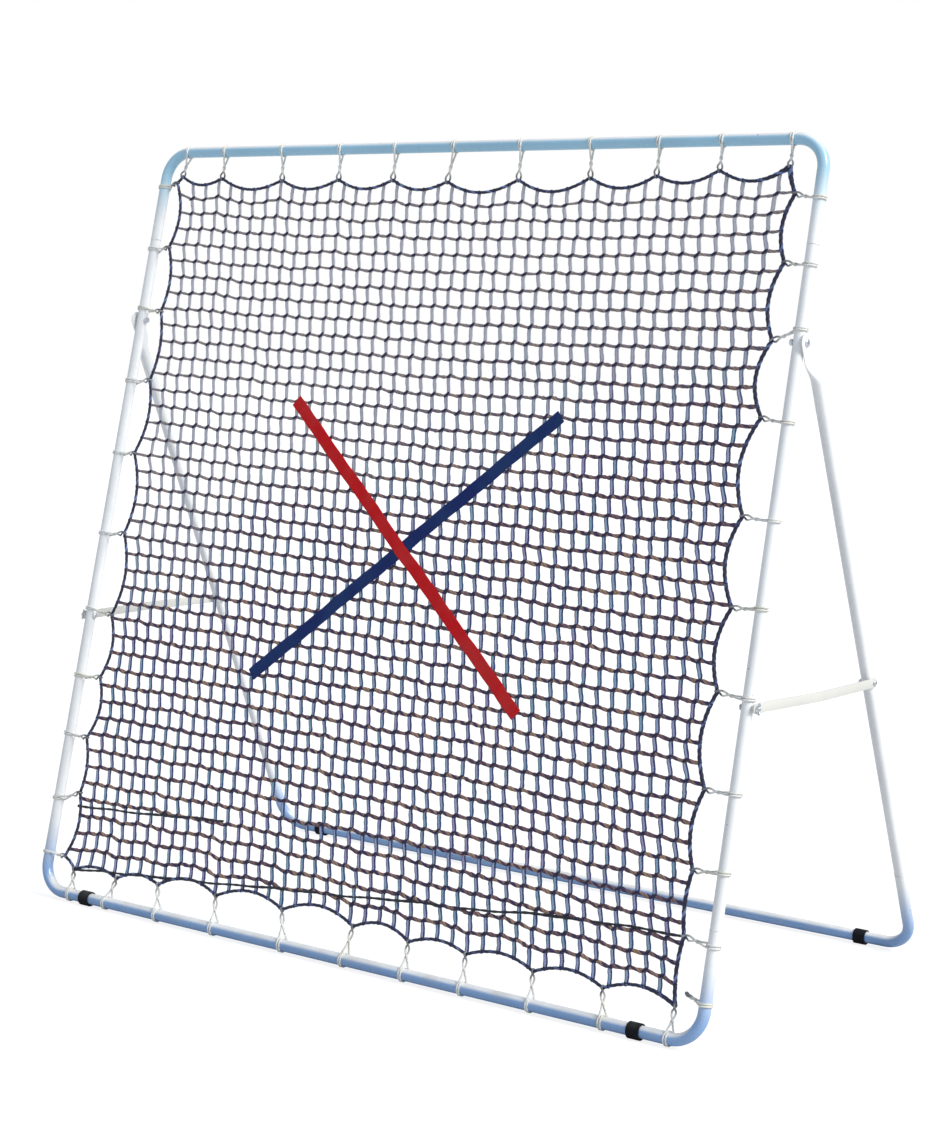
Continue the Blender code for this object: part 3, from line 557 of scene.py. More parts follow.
def carve(piece, cutter_shell, place):
    """Cut a closed shell out of a piece and keep the result as its mesh."""
    points, faces, _ = cutter_shell
    world = place(points)
    way = -1 if volume(world - world.mean(axis=0), faces) < 0 else 1
    mesh = bpy.data.meshes.new("cutter")
    mesh.from_pydata(world, [], sum((group[:, ::way].tolist() for group in faces), []))
    cutter = bpy.data.objects.new("cutter", mesh)
    scene.collection.objects.link(cutter)
    cut = piece.modifiers.new("cut", "BOOLEAN")
    cut.object = cutter
    cut.solver = "EXACT"
    result = bpy.data.meshes.new_from_object(piece.evaluated_get(bpy.context.evaluated_depsgraph_get()))
    piece.modifiers.remove(cut)
    piece.data = result
    result.set_sharp_from_angle(angle=math.radians(CREASE))
    bpy.data.objects.remove(cutter)


# The stays' darker cream is painted shade
shaded_cream_paint = make_paint("shaded_cream_gloss_paint", STAY_SHADED_CREAM, STAY_SHADED_CREAM, STAY_SHADED_CREAM)
for side, word in SIDES:
    stay = add_piece(f"{word}_stay_bar", [stay_shell(side)], shaded_cream_paint,
                     [f"{word}_stay"], body=f"{word}_stay", place=on_stay)
    carve(stay, slot_shell(side), on_stay)

# Bolts, nuts and wing nuts
# Bright zinc-plated steel. Round-headed socket bolts run through the pivots, the stays' rear ends
# and the uprights' studs; hexagon nuts hold them, and a wing nut clamps each stay's hook.
PIVOT_UP = 1.380
PIVOT_BOLT = 0.008
STAY_BOLT_DOWN = 0.783686
HEAD_HEIGHT = 0.0042
HEAD_RIM = 0.0014
HEAD_EASE = 0.0003
HEAD_PER_SHANK = 2.1
SOCKET_PER_SHANK = 0.36
SOCKET_DEPTH = 0.0024
NUT_HEIGHT = 0.0055
NUT_PER_SHANK = 1.85
NUT_CHAMFER = 0.0007
NUT_SINK = 0.0004
THREAD_PITCH = 0.00125
THREAD_DEPTH = 0.0004
THREAD_SHOWN = 0.0025
TIP_CHAMFER = 0.0006
TURNED_SIDES = 36
ZINC = (0.86, 0.88, 0.90)
ZINC_DULL = (0.66, 0.69, 0.73)
ZINC_RUBBED = (0.95, 0.95, 0.95)
PIVOT_CENTRE = (0.0, PIVOT_UP)
STUD_CENTRE = (0.0, STAY_STUD_UP)
STAY_BOLT_CENTRE = (0.0, -STAY_BOLT_DOWN)
WING_NUT_OUT = 0.92075
# The wing nut's hub, as distances out from its seat and radii, and its two wings
WING_HUB = np.array([[0.0, 0.0058], [0.0004, 0.00625], [0.0058, 0.0051], [0.0066, 0.0048],
                     [0.0070, 0.0043], [0.0070, 0.0036], [0.0066, 0.0032], [0.0, 0.0032]])
WING_OUT = 0.0022
WING_RISE = 0.0056
WING_START = 0.0035
WING_REACH = 0.0082
WING_HALF_WIDTH = 0.0024
WING_SWELL = 0.0011
WING_HALF_THICK = 0.00125
round_bolt = once_round(TURNED_SIDES)
hexagon = np.cos(np.pi / 6) / np.cos(np.mod(round_bolt, np.pi / 3) - np.pi / 6)


def make_edge_wear():
    """Where the surface bends sharply outwards and a patchy mask agrees, as rubbing takes a skin off."""
    group, given, result = new_group("edge_wear", {"Place": "Vector", "Amount": "Float"}, ["Mask"])
    edge = spread_over(group, add_node(group, "NewGeometry", {})["Pointiness"], 0.52, 0.60)
    patches = mottle(group, given["Place"], 160.0, 4.0, 0.35, 0.65)
    wire(group, result, {"Mask": product(group, edge, patches, given["Amount"])})
    return group


edge_wear = make_edge_wear()


def make_zinc():
    """Plated steel: soft crystal patches, brighter where edges are rubbed."""
    material, tree, shader, place, _ = new_finish("zinc_plate")
    crystals = add_node(tree, "TexVoronoi", {"Vector": place, "Scale": 900.0})["Color"]
    tone = parts(tree, crystals)[0]
    worn = place_group(tree, edge_wear, Place=place, Amount=0.8)["Mask"]
    grain = place_group(tree, fine_grain, Place=place, Scale=2400.0)
    colour = blend_colour(tree, tone, ZINC_DULL, ZINC)
    wire(tree, shader, {"Base Color": blend_colour(tree, worn, colour, ZINC_RUBBED), "Metallic": 1.0,
                        "Roughness": spread_over(tree, tone, 0.0, 1.0, 0.24, 0.42),
                        "Normal": relief(tree, grain["Height"], 0.25, 0.0001)})
    return material


zinc = make_zinc()


def about_x(side, centre, out, radius, looped=False):
    """A profile turned about a line along X: places out from the middle of the net, with a radius
    for each, or one for each way round where the outline isn't a circle."""
    middle = np.array([0.0, *centre]) + np.outer(side * np.asarray(out), X_WAY)
    return shell(rings_round(middle, Y_WAY, Z_WAY, radius, TURNED_SIDES), looped=looped)


def around(radii):
    """One radius for each station, repeated all the way round."""
    return np.repeat(np.asarray(radii, float)[:, None], TURNED_SIDES, axis=1)


def bolt_shell(side, centre, diameter, head_at, tip):
    """From the tip: a chamfer, a thread whose ridge climbs one pitch a turn, a plain shank, a rim, a
    dome along part of an ellipse and a six-sided socket sunk into it."""
    way = math.copysign(1.0, head_at - tip)
    shank, head = diameter / 2, diameter * HEAD_PER_SHANK / 2
    run = np.linspace(0, THREAD_SHOWN, 13)
    saw = np.abs(2 * np.mod(run[:, None] / THREAD_PITCH - round_bolt / (2 * np.pi), 1) - 1)
    thread = shank - THREAD_DEPTH * saw - TIP_CHAMFER * np.clip(1 - run[:, None] / TIP_CHAMFER, 0, 1)
    rise = np.radians(np.linspace(0, 54, 9))
    dome = HEAD_RIM + (HEAD_HEIGHT - HEAD_RIM) * np.sin(rise)
    socket = diameter * SOCKET_PER_SHANK
    out = np.concatenate([tip + way * run, [tip + way * (THREAD_SHOWN + 0.0002), head_at, head_at],
                          [head_at + way * HEAD_EASE], head_at + way * dome,
                          head_at + way * (dome[-1] - np.array([0.0001, 0.0003, SOCKET_DEPTH]))])
    radius = np.concatenate([thread, around([shank, shank, head - HEAD_EASE, head]),
                             around(head * np.cos(rise)), around([socket * 1.08]),
                             socket * np.stack([hexagon, hexagon])])
    return about_x(side, centre, out, radius)


def nut_shell(side, centre, diameter, low):
    """A six-sided prism cut to a cone at both faces, with a countersunk hole."""
    corner = diameter * NUT_PER_SHANK / 2
    depth = np.array([0.0, 0.3, 1.0]) * NUT_CHAMFER
    cone = corner * np.array([0.90, 0.95, 1.0, 1.0, 0.95, 0.90])[:, None]
    out = low + np.concatenate([depth, NUT_HEIGHT - depth[::-1],
                                [NUT_HEIGHT, NUT_HEIGHT - NUT_SINK, NUT_SINK, 0.0]])
    hole = diameter / 2 * np.array([1.14, 1.02, 1.02, 1.14])
    return about_x(side, centre, out, np.concatenate([np.minimum(cone, corner * hexagon),
                                                      around(hole)]), looped=True)


def unit(vectors):
    """Vectors made one long."""
    return vectors / np.linalg.norm(vectors, axis=-1, keepdims=True)


def ear_shell(side, way):
    """A wing: a flat oval carried out and up along a bend; its width swells and closes round."""
    share = np.linspace(0, 1, 15)
    middle = np.stack([WING_NUT_OUT + WING_OUT + WING_RISE * share ** 1.3, 0 * share,
                       way * (WING_START + WING_REACH * share)], axis=-1)
    grow = (WING_HALF_WIDTH + WING_SWELL * np.sin(np.pi * share)) * np.sqrt(
        np.clip(1 - (2 * share - 1) ** 8, 0.02, 1))
    thick = WING_HALF_THICK * np.sqrt(np.clip(1 - share ** 10, 0.05, 1))
    wide = np.cross(unit(np.gradient(middle, axis=0)), Y_WAY)
    rings = rings_round(middle, wide * grow[:, None], np.outer(thick, Y_WAY), 1.0, 16)
    return shell((rings + [0.0, *STUD_CENTRE]) * [side, 1, 1])


# Each fastener's shape, crease, body, place, centre and diameter, and how far out its parts are: a
# bolt's seat and tip, or a nut's inner face
FASTENERS = {
    "pivot_bolt": (bolt_shell, 30, "frame", on_front, PIVOT_CENTRE, PIVOT_BOLT, 0.9185, 0.87955),
    "pivot_nut": (nut_shell, 25, "frame", on_front, PIVOT_CENTRE, PIVOT_BOLT, 0.88155),
    "stay_stud": (bolt_shell, 30, "frame", on_front, STUD_CENTRE, SMALL_BOLT, 0.88705, 0.92975),
    "stay_bolt": (bolt_shell, 30, "stand", on_stand, STAY_BOLT_CENTRE, SMALL_BOLT, 0.9432, 0.90645),
    "stay_nut": (nut_shell, 25, "stand", on_stand, STAY_BOLT_CENTRE, SMALL_BOLT, 0.90845)}
for side, word in SIDES:
    for name, (make_shell, crease, body, place, *sizes) in FASTENERS.items():
        add_piece(f"{word}_{name}_zinc", [make_shell(side, *sizes)], zinc, [f"{word}_{name}"],
                  body=body, place=place, crease=crease)
    hub = about_x(side, STUD_CENTRE, WING_NUT_OUT + WING_HUB[:, 0], around(WING_HUB[:, 1]), looped=True)
    add_piece(f"{word}_wing_nut_zinc", [hub, ear_shell(side, 1), ear_shell(side, -1)], zinc,
              [f"{word}_wing_nut"], body=f"{word}_wing_nut", crease=50)

# Spacers
# White nylon rings on the pivot bolts and the studs, which keep steel off painted steel. They are
# moulded, with soft edges, and held by the bolts alone.
NYLON = (0.80, 0.80, 0.77)
NYLON_YELLOWED = (0.72, 0.71, 0.64)
SPACER_OUT = 0.91295
SPACER_SOFTNESS = 0.0004
# Each spacer's centre, thickness, outer radius and hole radius
SPACERS = {"pivot_spacer": (PIVOT_CENTRE, 0.001, 0.009, 0.0042),
           "stud_spacer": (STUD_CENTRE, 0.0042, 0.0075, 0.0032)}


def make_nylon():
    """Waxy moulded plastic, a little yellowed in patches."""
    material, tree, shader, place, _ = new_finish("white_nylon")
    grain = place_group(tree, fine_grain, Place=place, Scale=900.0)
    wire(tree, shader, {"Base Color": blend_colour(tree, grain["Tone"], NYLON, NYLON_YELLOWED),
                        "Roughness": 0.42, "Subsurface Weight": 0.15,
                        "Subsurface Radius": (0.002, 0.002, 0.0016),
                        "Normal": relief(tree, grain["Height"], 0.2, 0.0001)})
    return material


nylon = make_nylon()


def ring_shell(side, centre, thick, outer, hole):
    """A ring whose two outer edges are quarter rounds."""
    soft = quarter_round(min(SPACER_SOFTNESS, thick / 3), 4)
    out, radius = sleeve_profile(SPACER_OUT, SPACER_OUT + thick, outer, hole, *soft)
    return about_x(side, centre, out, around(radius), looped=True)


for side, word in SIDES:
    for name, sizes in SPACERS.items():
        add_piece(f"{word}_{name}_nylon", [ring_shell(side, *sizes)], nylon,
                  [f"{word}_{name}"])

# Feet
# Black rubber sleeves pulled onto the front and rear bars, ribbed for grip and worn flat underneath.
# They hold by their own stretch.
FOOT_LENGTH = 0.029
FOOT_RADIUS = 0.0163
FOOT_SOLE = 1.09
FOOT_BORE = 0.0130
FOOT_FLAT = 0.0170
FOOT_LIP = 0.001
FOOT_RIBS = 7
RIB_DEPTH = 0.0007
RUBBER = (0.003, 0.004, 0.007)
RUBBER_GREYED = (0.012, 0.013, 0.017)
RUBBER_SCUFFED = (0.045, 0.046, 0.050)


def make_rubber():
    """Moulded rubber: matt, greyed in patches, scuffed along its edges and dusty low down."""
    material, tree, shader, place, _ = new_finish("black_rubber")
    grain = place_group(tree, fine_grain, Place=place, Scale=1100.0)
    worn = place_group(tree, edge_wear, Place=place, Amount=0.5)["Mask"]
    dust = place_group(tree, settled_dust, Place=place, Amount=0.12)["Mask"]
    colour = blend_colour(tree, grain["Tone"], RUBBER, RUBBER_GREYED)
    colour = blend_colour(tree, worn, colour, RUBBER_SCUFFED)
    wire(tree, shader, {"Base Color": blend_colour(tree, dust, colour, DUST),
                        "Roughness": spread_over(tree, grain["Height"], 0.2, 0.8, 0.5, 0.75),
                        "Specular IOR Level": 0.15,
                        "Normal": relief(tree, grain["Height"], 0.5, 0.0003)})
    return material


rubber = make_rubber()


def foot_shell(out, bar):
    """A sleeve turned about the bar: its radius dips by a cosine between ribs, its lips are round,
    its underside is stretched down into a sole, and it is cut off level where it stands."""
    half = FOOT_LENGTH / 2
    back, inward = quarter_round(FOOT_LIP)
    ribbed = half - 2 * FOOT_LIP
    along = np.linspace(-ribbed, ribbed, 8 * FOOT_RIBS)
    ribs = 2 * np.pi * FOOT_RIBS * (along / (2 * ribbed) + 0.5)
    dip = RIB_DEPTH * (0.5 - 0.5 * np.cos(ribs)) ** 3
    run = np.concatenate([-half + back, along, half - back[::-1], [half, -half]])
    radius = np.concatenate([FOOT_RADIUS - inward, FOOT_RADIUS - dip, FOOT_RADIUS - inward[::-1],
                             [FOOT_BORE, FOOT_BORE]])
    middle = np.stack([out + run, 0 * run + bar.y, 0 * run + bar.z], axis=-1)
    rings = rings_round(middle, Y_WAY, Z_WAY, radius, TUBE_SIDES)
    deep = rings[:-2, :, 2] - bar.z
    rings[:-2, :, 2] = bar.z + np.maximum(deep * np.where(deep < 0, FOOT_SOLE, 1), -FOOT_FLAT)
    return shell(rings, looped=True)


for end, body, bar in (("front", "frame", front_bar), ("rear", "stand", rear_bar)):
    for _, word in SIDES:
        centre = sum(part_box(f"{end}_{word}_foot"), Vector()) / 2
        add_piece(f"{end}_{word}_foot_rubber", [foot_shell(centre.x, bar)], rubber,
                  [f"{end}_{word}_foot"], body=body, place=np.asarray, crease=50)

# Border rope
# A twisted cord round the net's edge, navy with one pale strand. The ties pull it out to points and
# between them it runs in shallow arches; at the upper right corner it is bunched thick.
ROPE_RADIUS = 0.0034
ROPE_STRANDS = 3
ROPE_PITCH = 0.042
ROPE_LOBE = 0.11
ROPE_STATIONS = 2800
ARCH_SHARPNESS = 0.85
ROPE_NAVY = (0.012, 0.014, 0.055)
ROPE_PALE = (0.16, 0.24, 0.48)
ROPE_PATCH = (0.05, 0.07, 0.20)
# Each point that a tie pulls out: its place along the side, and how far in from the tube it is
TOP_POINTS = ((-.8475, .0585), (-.716, .065), (-.525, .0715), (-.3525, .0715), (-.1925, .074),
              (-.0365, .080), (.1575, .0775), (.345, .075), (.510, .0725), (.661, .0625), (.824, .0575))
RIGHT_POINTS = ((.1975, .0675), (.325, .069), (.4825, .0675), (.675, .070), (.8425, .065),
                (1.025, .070), (1.225, .060), (1.3825, .060), (1.5425, .0575), (1.685, .055))
BOTTOM_POINTS = ((-.8115, .0575), (-.6725, .059), (-.5425, .066), (-.365, .071), (-.170, .074),
                 (.030, .0725), (.181, .0675), (.330, .069), (.500, .066), (.6675, .065), (.835, .0625))
LEFT_POINTS = ((.0825, .050), (.235, .065), (.365, .055), (.510, .065), (.660, .067), (.8575, .0625),
               (1.0525, .050), (1.2325, .060), (1.4025, .0575), (1.5625, .0475), (1.725, .0375))
# How deep each arch is, then the bend round the corner that follows, once round from the top left
ARCHES = (.020, .026, .0235, .023, .022, .028, .030, .026, .0225, .0275, .003,
          .019, .023, .026, .029, .0275, .0225, .025, .018, .008, .0075,
          .022, .0205, .020, .017, .0225, .027, .025, .0255, .0165, .015, .004,
          .020, .0125, .0225, .0215, .025, .024, .021, .016, .0175, .0225, .003)
# The bunched corner's place, reach and share of extra thickness, and the same down the right side
BUNCH_PLACE = (0.826, 1.735)
BUNCH_REACH = 0.025
BUNCH_THICK = 0.45
RIGHT_FROM = 0.74
RIGHT_REACH = 0.04
RIGHT_THICK = 0.22


def make_cord_lay():
    """Strands laid round a cord: phase = strands x way round + turns x distance along. The height is
    the round back of each strand, and the strand is which of them it is, from 0 to 1."""
    group, given, result = new_group("cord_lay", {"Lay": "Vector", "Strands": "Float", "Turns": "Float"},
                                     ["Height", "Strand"])
    lay = parts(group, given["Lay"])
    phase = reckon(group, "ADD", product(group, lay[1], given["Strands"]),
                   product(group, lay[0], given["Turns"]))
    back = reckon(group, "ABSOLUTE", reckon(group, "SINE", product(group, phase, math.pi)))
    which = reckon(group, "FRACT", reckon(group, "DIVIDE", reckon(group, "FLOOR", phase),
                                          given["Strands"]))
    wire(group, result, {"Height": back, "Strand": which})
    return group


cord_lay = make_cord_lay()


def make_cord(name, strands, turns, dark, pale, pale_from, patch_scale, patch_colour):
    """Twisted nylon: painted shade in the grooves between strands, some strands paler, slow changes of
    colour along them and the glint of fine yarns laid the other way."""
    material, tree, shader, place, flat = new_finish(name)
    lay = place_group(tree, cord_lay, Lay=flat, Strands=float(strands), Turns=turns)
    yarn = place_group(tree, cord_lay, Lay=flat, Strands=strands * 5.0, Turns=-turns * 9.0)["Height"]
    bright = blend_colour(tree, mottle(tree, place, patch_scale, 2.0, 0.38, 0.62), pale, patch_colour)
    chosen = spread_over(tree, lay["Strand"], pale_from - 0.02, pale_from + 0.02)
    # Painted shade in the grooves between strands
    groove_shade = spread_over(tree, lay["Height"], 0.15, 0.75)
    height = reckon(tree, "ADD", lay["Height"], product(tree, yarn, 0.25))
    wire(tree, shader, {
        "Base Color": blend_colour(tree, groove_shade, dark, blend_colour(tree, chosen, dark, bright)),
        "Roughness": spread_over(tree, yarn, 0.0, 1.0, 0.62, 0.40), "Sheen Weight": 0.15,
        "Normal": relief(tree, height, 0.8, 0.0008)})
    return material


rope_cord = make_cord("navy_rope", ROPE_STRANDS, 1 / ROPE_PITCH * ROPE_STRANDS, ROPE_NAVY, ROPE_PALE,
                      0.6, 6.0, ROPE_PATCH)


def side_points(points, side):
    """A side's points on the net's plane, x across and z up."""
    along, inset = np.array(points).T
    across, up = {"top": (along, FRAME_HEIGHT - inset), "bottom": (along, inset),
                  "left": (inset - half_width, along), "right": (half_width - inset, along)}[side]
    return np.stack([across, up], axis=-1)


def spaced_evenly(line, count, endpoint=True):
    """A line's places at even distances along it, and its length."""
    run = distances(line)
    even = np.linspace(0, run[-1], count, endpoint=endpoint)
    return np.stack([np.interp(even, run, line[:, 0]), np.interp(even, run, line[:, 1])], -1), run[-1]


def rope_line():
    """Straight chords between the points, each pushed towards the net's middle by depth x sin(pi x
    share) ^ sharpness, then eased by neighbours and spaced evenly. Also the arches, side by side."""
    points = [side_points(TOP_POINTS, "top"), side_points(RIGHT_POINTS, "right")[::-1],
              side_points(BOTTOM_POINTS, "bottom")[::-1], side_points(LEFT_POINTS, "left")]
    starts = np.cumsum([0] + [len(side) for side in points])
    points = np.concatenate(points)
    chord = np.roll(points, -1, axis=0) - points
    square = unit(np.stack([-chord[:, 1], chord[:, 0]], axis=-1))
    square *= np.sign(np.sum(square * ([0.0, FRAME_HEIGHT / 2] - points), axis=1))[:, None]
    share = np.linspace(0, 1, 60, endpoint=False)[:, None]
    push = np.array(ARCHES)[:, None, None] * np.sin(np.pi * share) ** ARCH_SHARPNESS
    line = points[:, None] + chord[:, None] * share + square[:, None] * push
    sides = [line[start:end - 1].reshape(-1, 2) for start, end in zip(starts[:-1], starts[1:])]
    line = line.reshape(-1, 2)
    for _ in range(2):
        line = (np.roll(line, 1, axis=0) + 2 * line + np.roll(line, -1, axis=0)) / 4
    line, length = spaced_evenly(np.concatenate([line, line[:1]]), ROPE_STATIONS, endpoint=False)
    return line, sides, length


rope, rope_sides, rope_length = rope_line()


def flat_cord(line, depth, radius, strands, turns, lobe, sides, looped=False, flatness=1.0):
    """A cord along lines on the net's plane. Its outline has one lobe for each strand, turning as it
    goes: radius x (1 + lobe x cos(strands x way round - 2 pi x turns x distance along)). The
    flatness is its depth as a share of its width."""
    ends = np.concatenate([line[-1:], line, line[:1]]) if looped else line
    step = unit(np.gradient(ends, axis=-2))
    step = step[1:-1] if looped else step
    square = np.stack([-step[..., 1], 0 * step[..., 0], step[..., 0]], axis=-1)
    run = distances(line)
    radius = (np.asarray(radius) + 0 * run)[..., None]
    twist = strands * once_round(sides) - 2 * np.pi * turns * run[..., None]
    middle = np.stack([line[..., 0], depth + 0 * run, line[..., 1]], axis=-1)
    return shell(rings_round(middle, square, flatness * Y_WAY, radius * (1 + lobe * np.cos(twist)), sides),
                 looped=looped)


rope_turns = round(rope_length / ROPE_PITCH) * ROPE_STRANDS / rope_length
bunched = BUNCH_THICK * np.exp(-np.sum((rope - BUNCH_PLACE) ** 2, axis=1) / BUNCH_REACH ** 2)
bunched += RIGHT_THICK * np.clip((rope[:, 0] - RIGHT_FROM) / RIGHT_REACH, 0, 1)
add_piece("border_rope", [flat_cord(rope, 0.0, ROPE_RADIUS * (1 + bunched), ROPE_STRANDS, rope_turns,
                                    ROPE_LOBE, 12, looped=True)], rope_cord,
          ["top_edge_rope", "right_edge_rope", "bottom_edge_rope", "left_edge_rope"], crease=180)

# Net
# Knotted twine, 43 meshes wide and 42 high. Rows step up through each knot and dip to the next, and
# columns step aside, because each knot is a slanting dash. The edge's arches fade into the net.
NET_COLUMNS = 43
NET_ROWS = 42
FADE_CELLS = 1.6
# How far in from the tube the net's left and right edges are, at their ends and at their middles
LEFT_INSETS = (.060, .079)
RIGHT_INSETS = (.064, .081)
ROW_MIDDLE = (0.0845, 1.5465, 0.1506, -0.0761)
ROW_TILT = (0.0005, 0.0025)
ROW_ARCH = (0.0135, 0.0335)
NET_REACH = 0.8
NET_BACK = 0.0012
ROW_FRONT = 0.0004
COLUMN_BEHIND = 0.0008
WANDER = (0.0028, 0.0036)
FINE_WANDER = 0.0008
ROW_HALF = 0.0034
ROW_FLATNESS = 0.62
ROW_TURNS = 35.0
COLUMN_HALF = 0.0049
COLUMN_FLATNESS = 0.45
ROW_STEP = 0.0016
COLUMN_STEP = 0.0026
ROW_SAG = 0.0008
CELL_SHARES = np.array([0.10, 0.26, 0.42, 0.58, 0.74, 0.90])
KNOT_HALF_LENGTH = 0.0078
KNOT_WIDE = 0.0036
KNOT_DEEP = 0.0028
KNOT_FRONT = 0.0018
KNOT_SLANT = math.radians(35)
HITCH_HALF_LENGTH = 0.0043
HITCH_WIDE = 0.0034
HITCH_DEEP = 0.0046
# The weathering's slope and start, and how far up it is complete, for thickness and for colour
WEATHER_SLOPE = 0.38
WEATHER_FROM = 0.85
THINNED_OVER = 0.60
BLEACHED_BY = 1.45
ROW_DARK = (0.032, 0.026, 0.120)
ROW_DARK_BROWN = (0.105, 0.055, 0.085)
# Painted warm sunlight on the rows' navy twine, cream and brown
ROW_SUNLIT_CREAM = (0.41, 0.245, 0.165)
ROW_SUNLIT_BROWN = (0.20, 0.11, 0.125)
ROW_FADED = (0.45, 0.41, 0.40)
# Painted shade in the rows' grooves
ROW_GROOVE_SHADE = (0.026, 0.017, 0.055)
# Painted sky reflection on the columns' navy twine, in three tints; the twine's own navy and deep teal; its
# faded grey
COLUMN_REFLECTED_SKY = (0.42, 0.50, 0.70)
COLUMN_REFLECTED_TEAL = (0.30, 0.50, 0.60)
COLUMN_REFLECTED_VIOLET = (0.43, 0.38, 0.62)
COLUMN_NAVY = (0.022, 0.028, 0.13)
COLUMN_DEEP_TEAL = (0.022, 0.055, 0.18)
COLUMN_FADED = (0.63, 0.62, 0.64)
KNOT_DARK = (0.005, 0.006, 0.045)
KNOT_PALE = (0.016, 0.019, 0.12)
KNOT_PATCH = (0.010, 0.012, 0.08)
chance = np.random.default_rng(7)


def bulge(ends, middle, share):
    """An inset that goes from its ends to its middle by a parabola."""
    return ends + (middle - ends) * (1 - (2 * share - 1) ** 2)


def row_height(x, t):
    """How high the share t of the rows hangs at x: a cubic up the middle, plus a tilt and a parabola
    across, which arches up at the bottom and sags at the top."""
    middle = ((ROW_MIDDLE[3] * t + ROW_MIDDLE[2]) * t + ROW_MIDDLE[1]) * t + ROW_MIDDLE[0]
    share = x / NET_REACH
    return middle - (ROW_TILT[0] + ROW_TILT[1] * t) * share + (ROW_ARCH[1] * t - ROW_ARCH[0]) * share ** 2


def knot_grid():
    """Columns spread evenly between bulging edges and rows as above, the rope's arches added and faded
    by exp(-cells / fade), and a smoothed random wander that dies out at the rope, where each line
    ends at its nearest place."""
    i, j = np.indices((NET_COLUMNS + 1, NET_ROWS + 1))
    s, t = i / NET_COLUMNS, j / NET_ROWS
    left, right_edge = bulge(*LEFT_INSETS, t) - half_width, half_width - bulge(*RIGHT_INSETS, t)
    x = (1 - s) * left + s * right_edge
    z = row_height(x, t)
    wander = chance.normal(0, 1, (2,) + x.shape)
    for _ in range(2):
        wander = (4 * wander + np.roll(wander, 1, 1) + np.roll(wander, -1, 1)
                  + np.roll(wander, 1, 2) + np.roll(wander, -1, 2)) / 8
    wander = wander * np.array(WANDER)[:, None, None] + chance.normal(0, FINE_WANDER, wander.shape)
    wander *= np.clip(np.minimum.reduce([i, NET_COLUMNS - i, j, NET_ROWS - j]) / 2, 0, 1)
    top_rope, right_rope, bottom_rope, left_rope = rope_sides
    across, up = x + wander[0], z + wander[1]
    for _ in range(4):
        pull_left = np.interp(up, left_rope[:, 1], left_rope[:, 0]) - left
        pull_right = np.interp(up, right_rope[::-1, 1], right_rope[::-1, 0]) - right_edge
        pull_low = np.interp(across, *bottom_rope[::-1].T) - row_height(across, 0 * t)
        pull_high = np.interp(across, *top_rope.T) - row_height(across, 0 * t + 1)
        across = (x + wander[0] + pull_left * np.exp(-i / FADE_CELLS)
                  + pull_right * np.exp((i - NET_COLUMNS) / FADE_CELLS))
        up = (z + wander[1] + pull_low * np.exp(-j / FADE_CELLS)
              + pull_high * np.exp((j - NET_ROWS) / FADE_CELLS))
    grid = np.stack([across, up], axis=-1)
    for edge in (grid[0], grid[-1], grid[:, 0], grid[:, -1]):
        edge[:] = rope[np.linalg.norm(edge[:, None] - rope, axis=-1).argmin(axis=1)]
    return grid


knots = knot_grid()


def twine_line(points, step, sag):
    """Along each line of knots: straight from knot to knot, plus a swing of step x cosine from one
    side of the line to the other, and a sag of a half sine. The line's two ends don't swing."""
    start, end = points[:, :-1, None], points[:, 1:, None]
    share = CELL_SHARES[:, None]
    swing = step * np.cos(np.pi * (share - CELL_SHARES[0]) / 0.8)
    line = start + (end - start) * share + swing - sag * np.sin(np.pi * share)
    line[:, 0, :3] -= swing[:3]
    line[:, -1, 3:] -= swing[3:]
    return np.concatenate([points[:, :1], line.reshape(len(points), -1, 2), points[:, -1:]], axis=1)


def uneven_twine(lines, half, fresh, worn_off, roughness):
    """Half thickness x (fresh - worn off x weathering) x (1 + roughness x chance), where the
    weathering goes from 0 to 1 towards the net's upper left."""
    weathering = (lines[..., 1] - WEATHER_SLOPE * lines[..., 0] - WEATHER_FROM) / THINNED_OVER
    size = half * (fresh - worn_off * np.clip(weathering, 0, 1))
    return size * (1 + roughness * chance.normal(0, 1, lines.shape[:2]).clip(-2, 2))


row_lines = twine_line(knots[:, 1:-1].transpose(1, 0, 2), np.array([0.0, ROW_STEP]),
                       np.array([0.0, ROW_SAG]))
column_lines = twine_line(knots[1:-1], np.array([COLUMN_STEP, 0.0]), 0.0)
row_thick = uneven_twine(row_lines, ROW_HALF, 1.22, 0.32, 0.10)
column_thick = uneven_twine(column_lines, COLUMN_HALF, 1.10, 0.12, 0.06)


def stirred(tree, value, place, scale, amount):
    """A value with soft random patches added, as much down as up."""
    patches = reckon(tree, "SUBTRACT", mottle(tree, place, scale, 3.0), 0.5)
    return reckon(tree, "ADD", value, product(tree, patches, amount))


def make_bleached():
    """The same weathering for a colour, from the place in space."""
    group, given, result = new_group("bleached", {"Place": "Vector"}, ["Share"])
    x, _, z = parts(group, given["Place"])
    slope = reckon(group, "SUBTRACT", reckon(group, "DIVIDE", z, math.cos(lean)),
                   product(group, x, WEATHER_SLOPE))
    slope = stirred(group, slope, given["Place"], 5.0, 0.5)
    wire(group, result, {"Share": spread_over(group, slope, WEATHER_FROM, BLEACHED_BY)})
    return group


bleached = make_bleached()


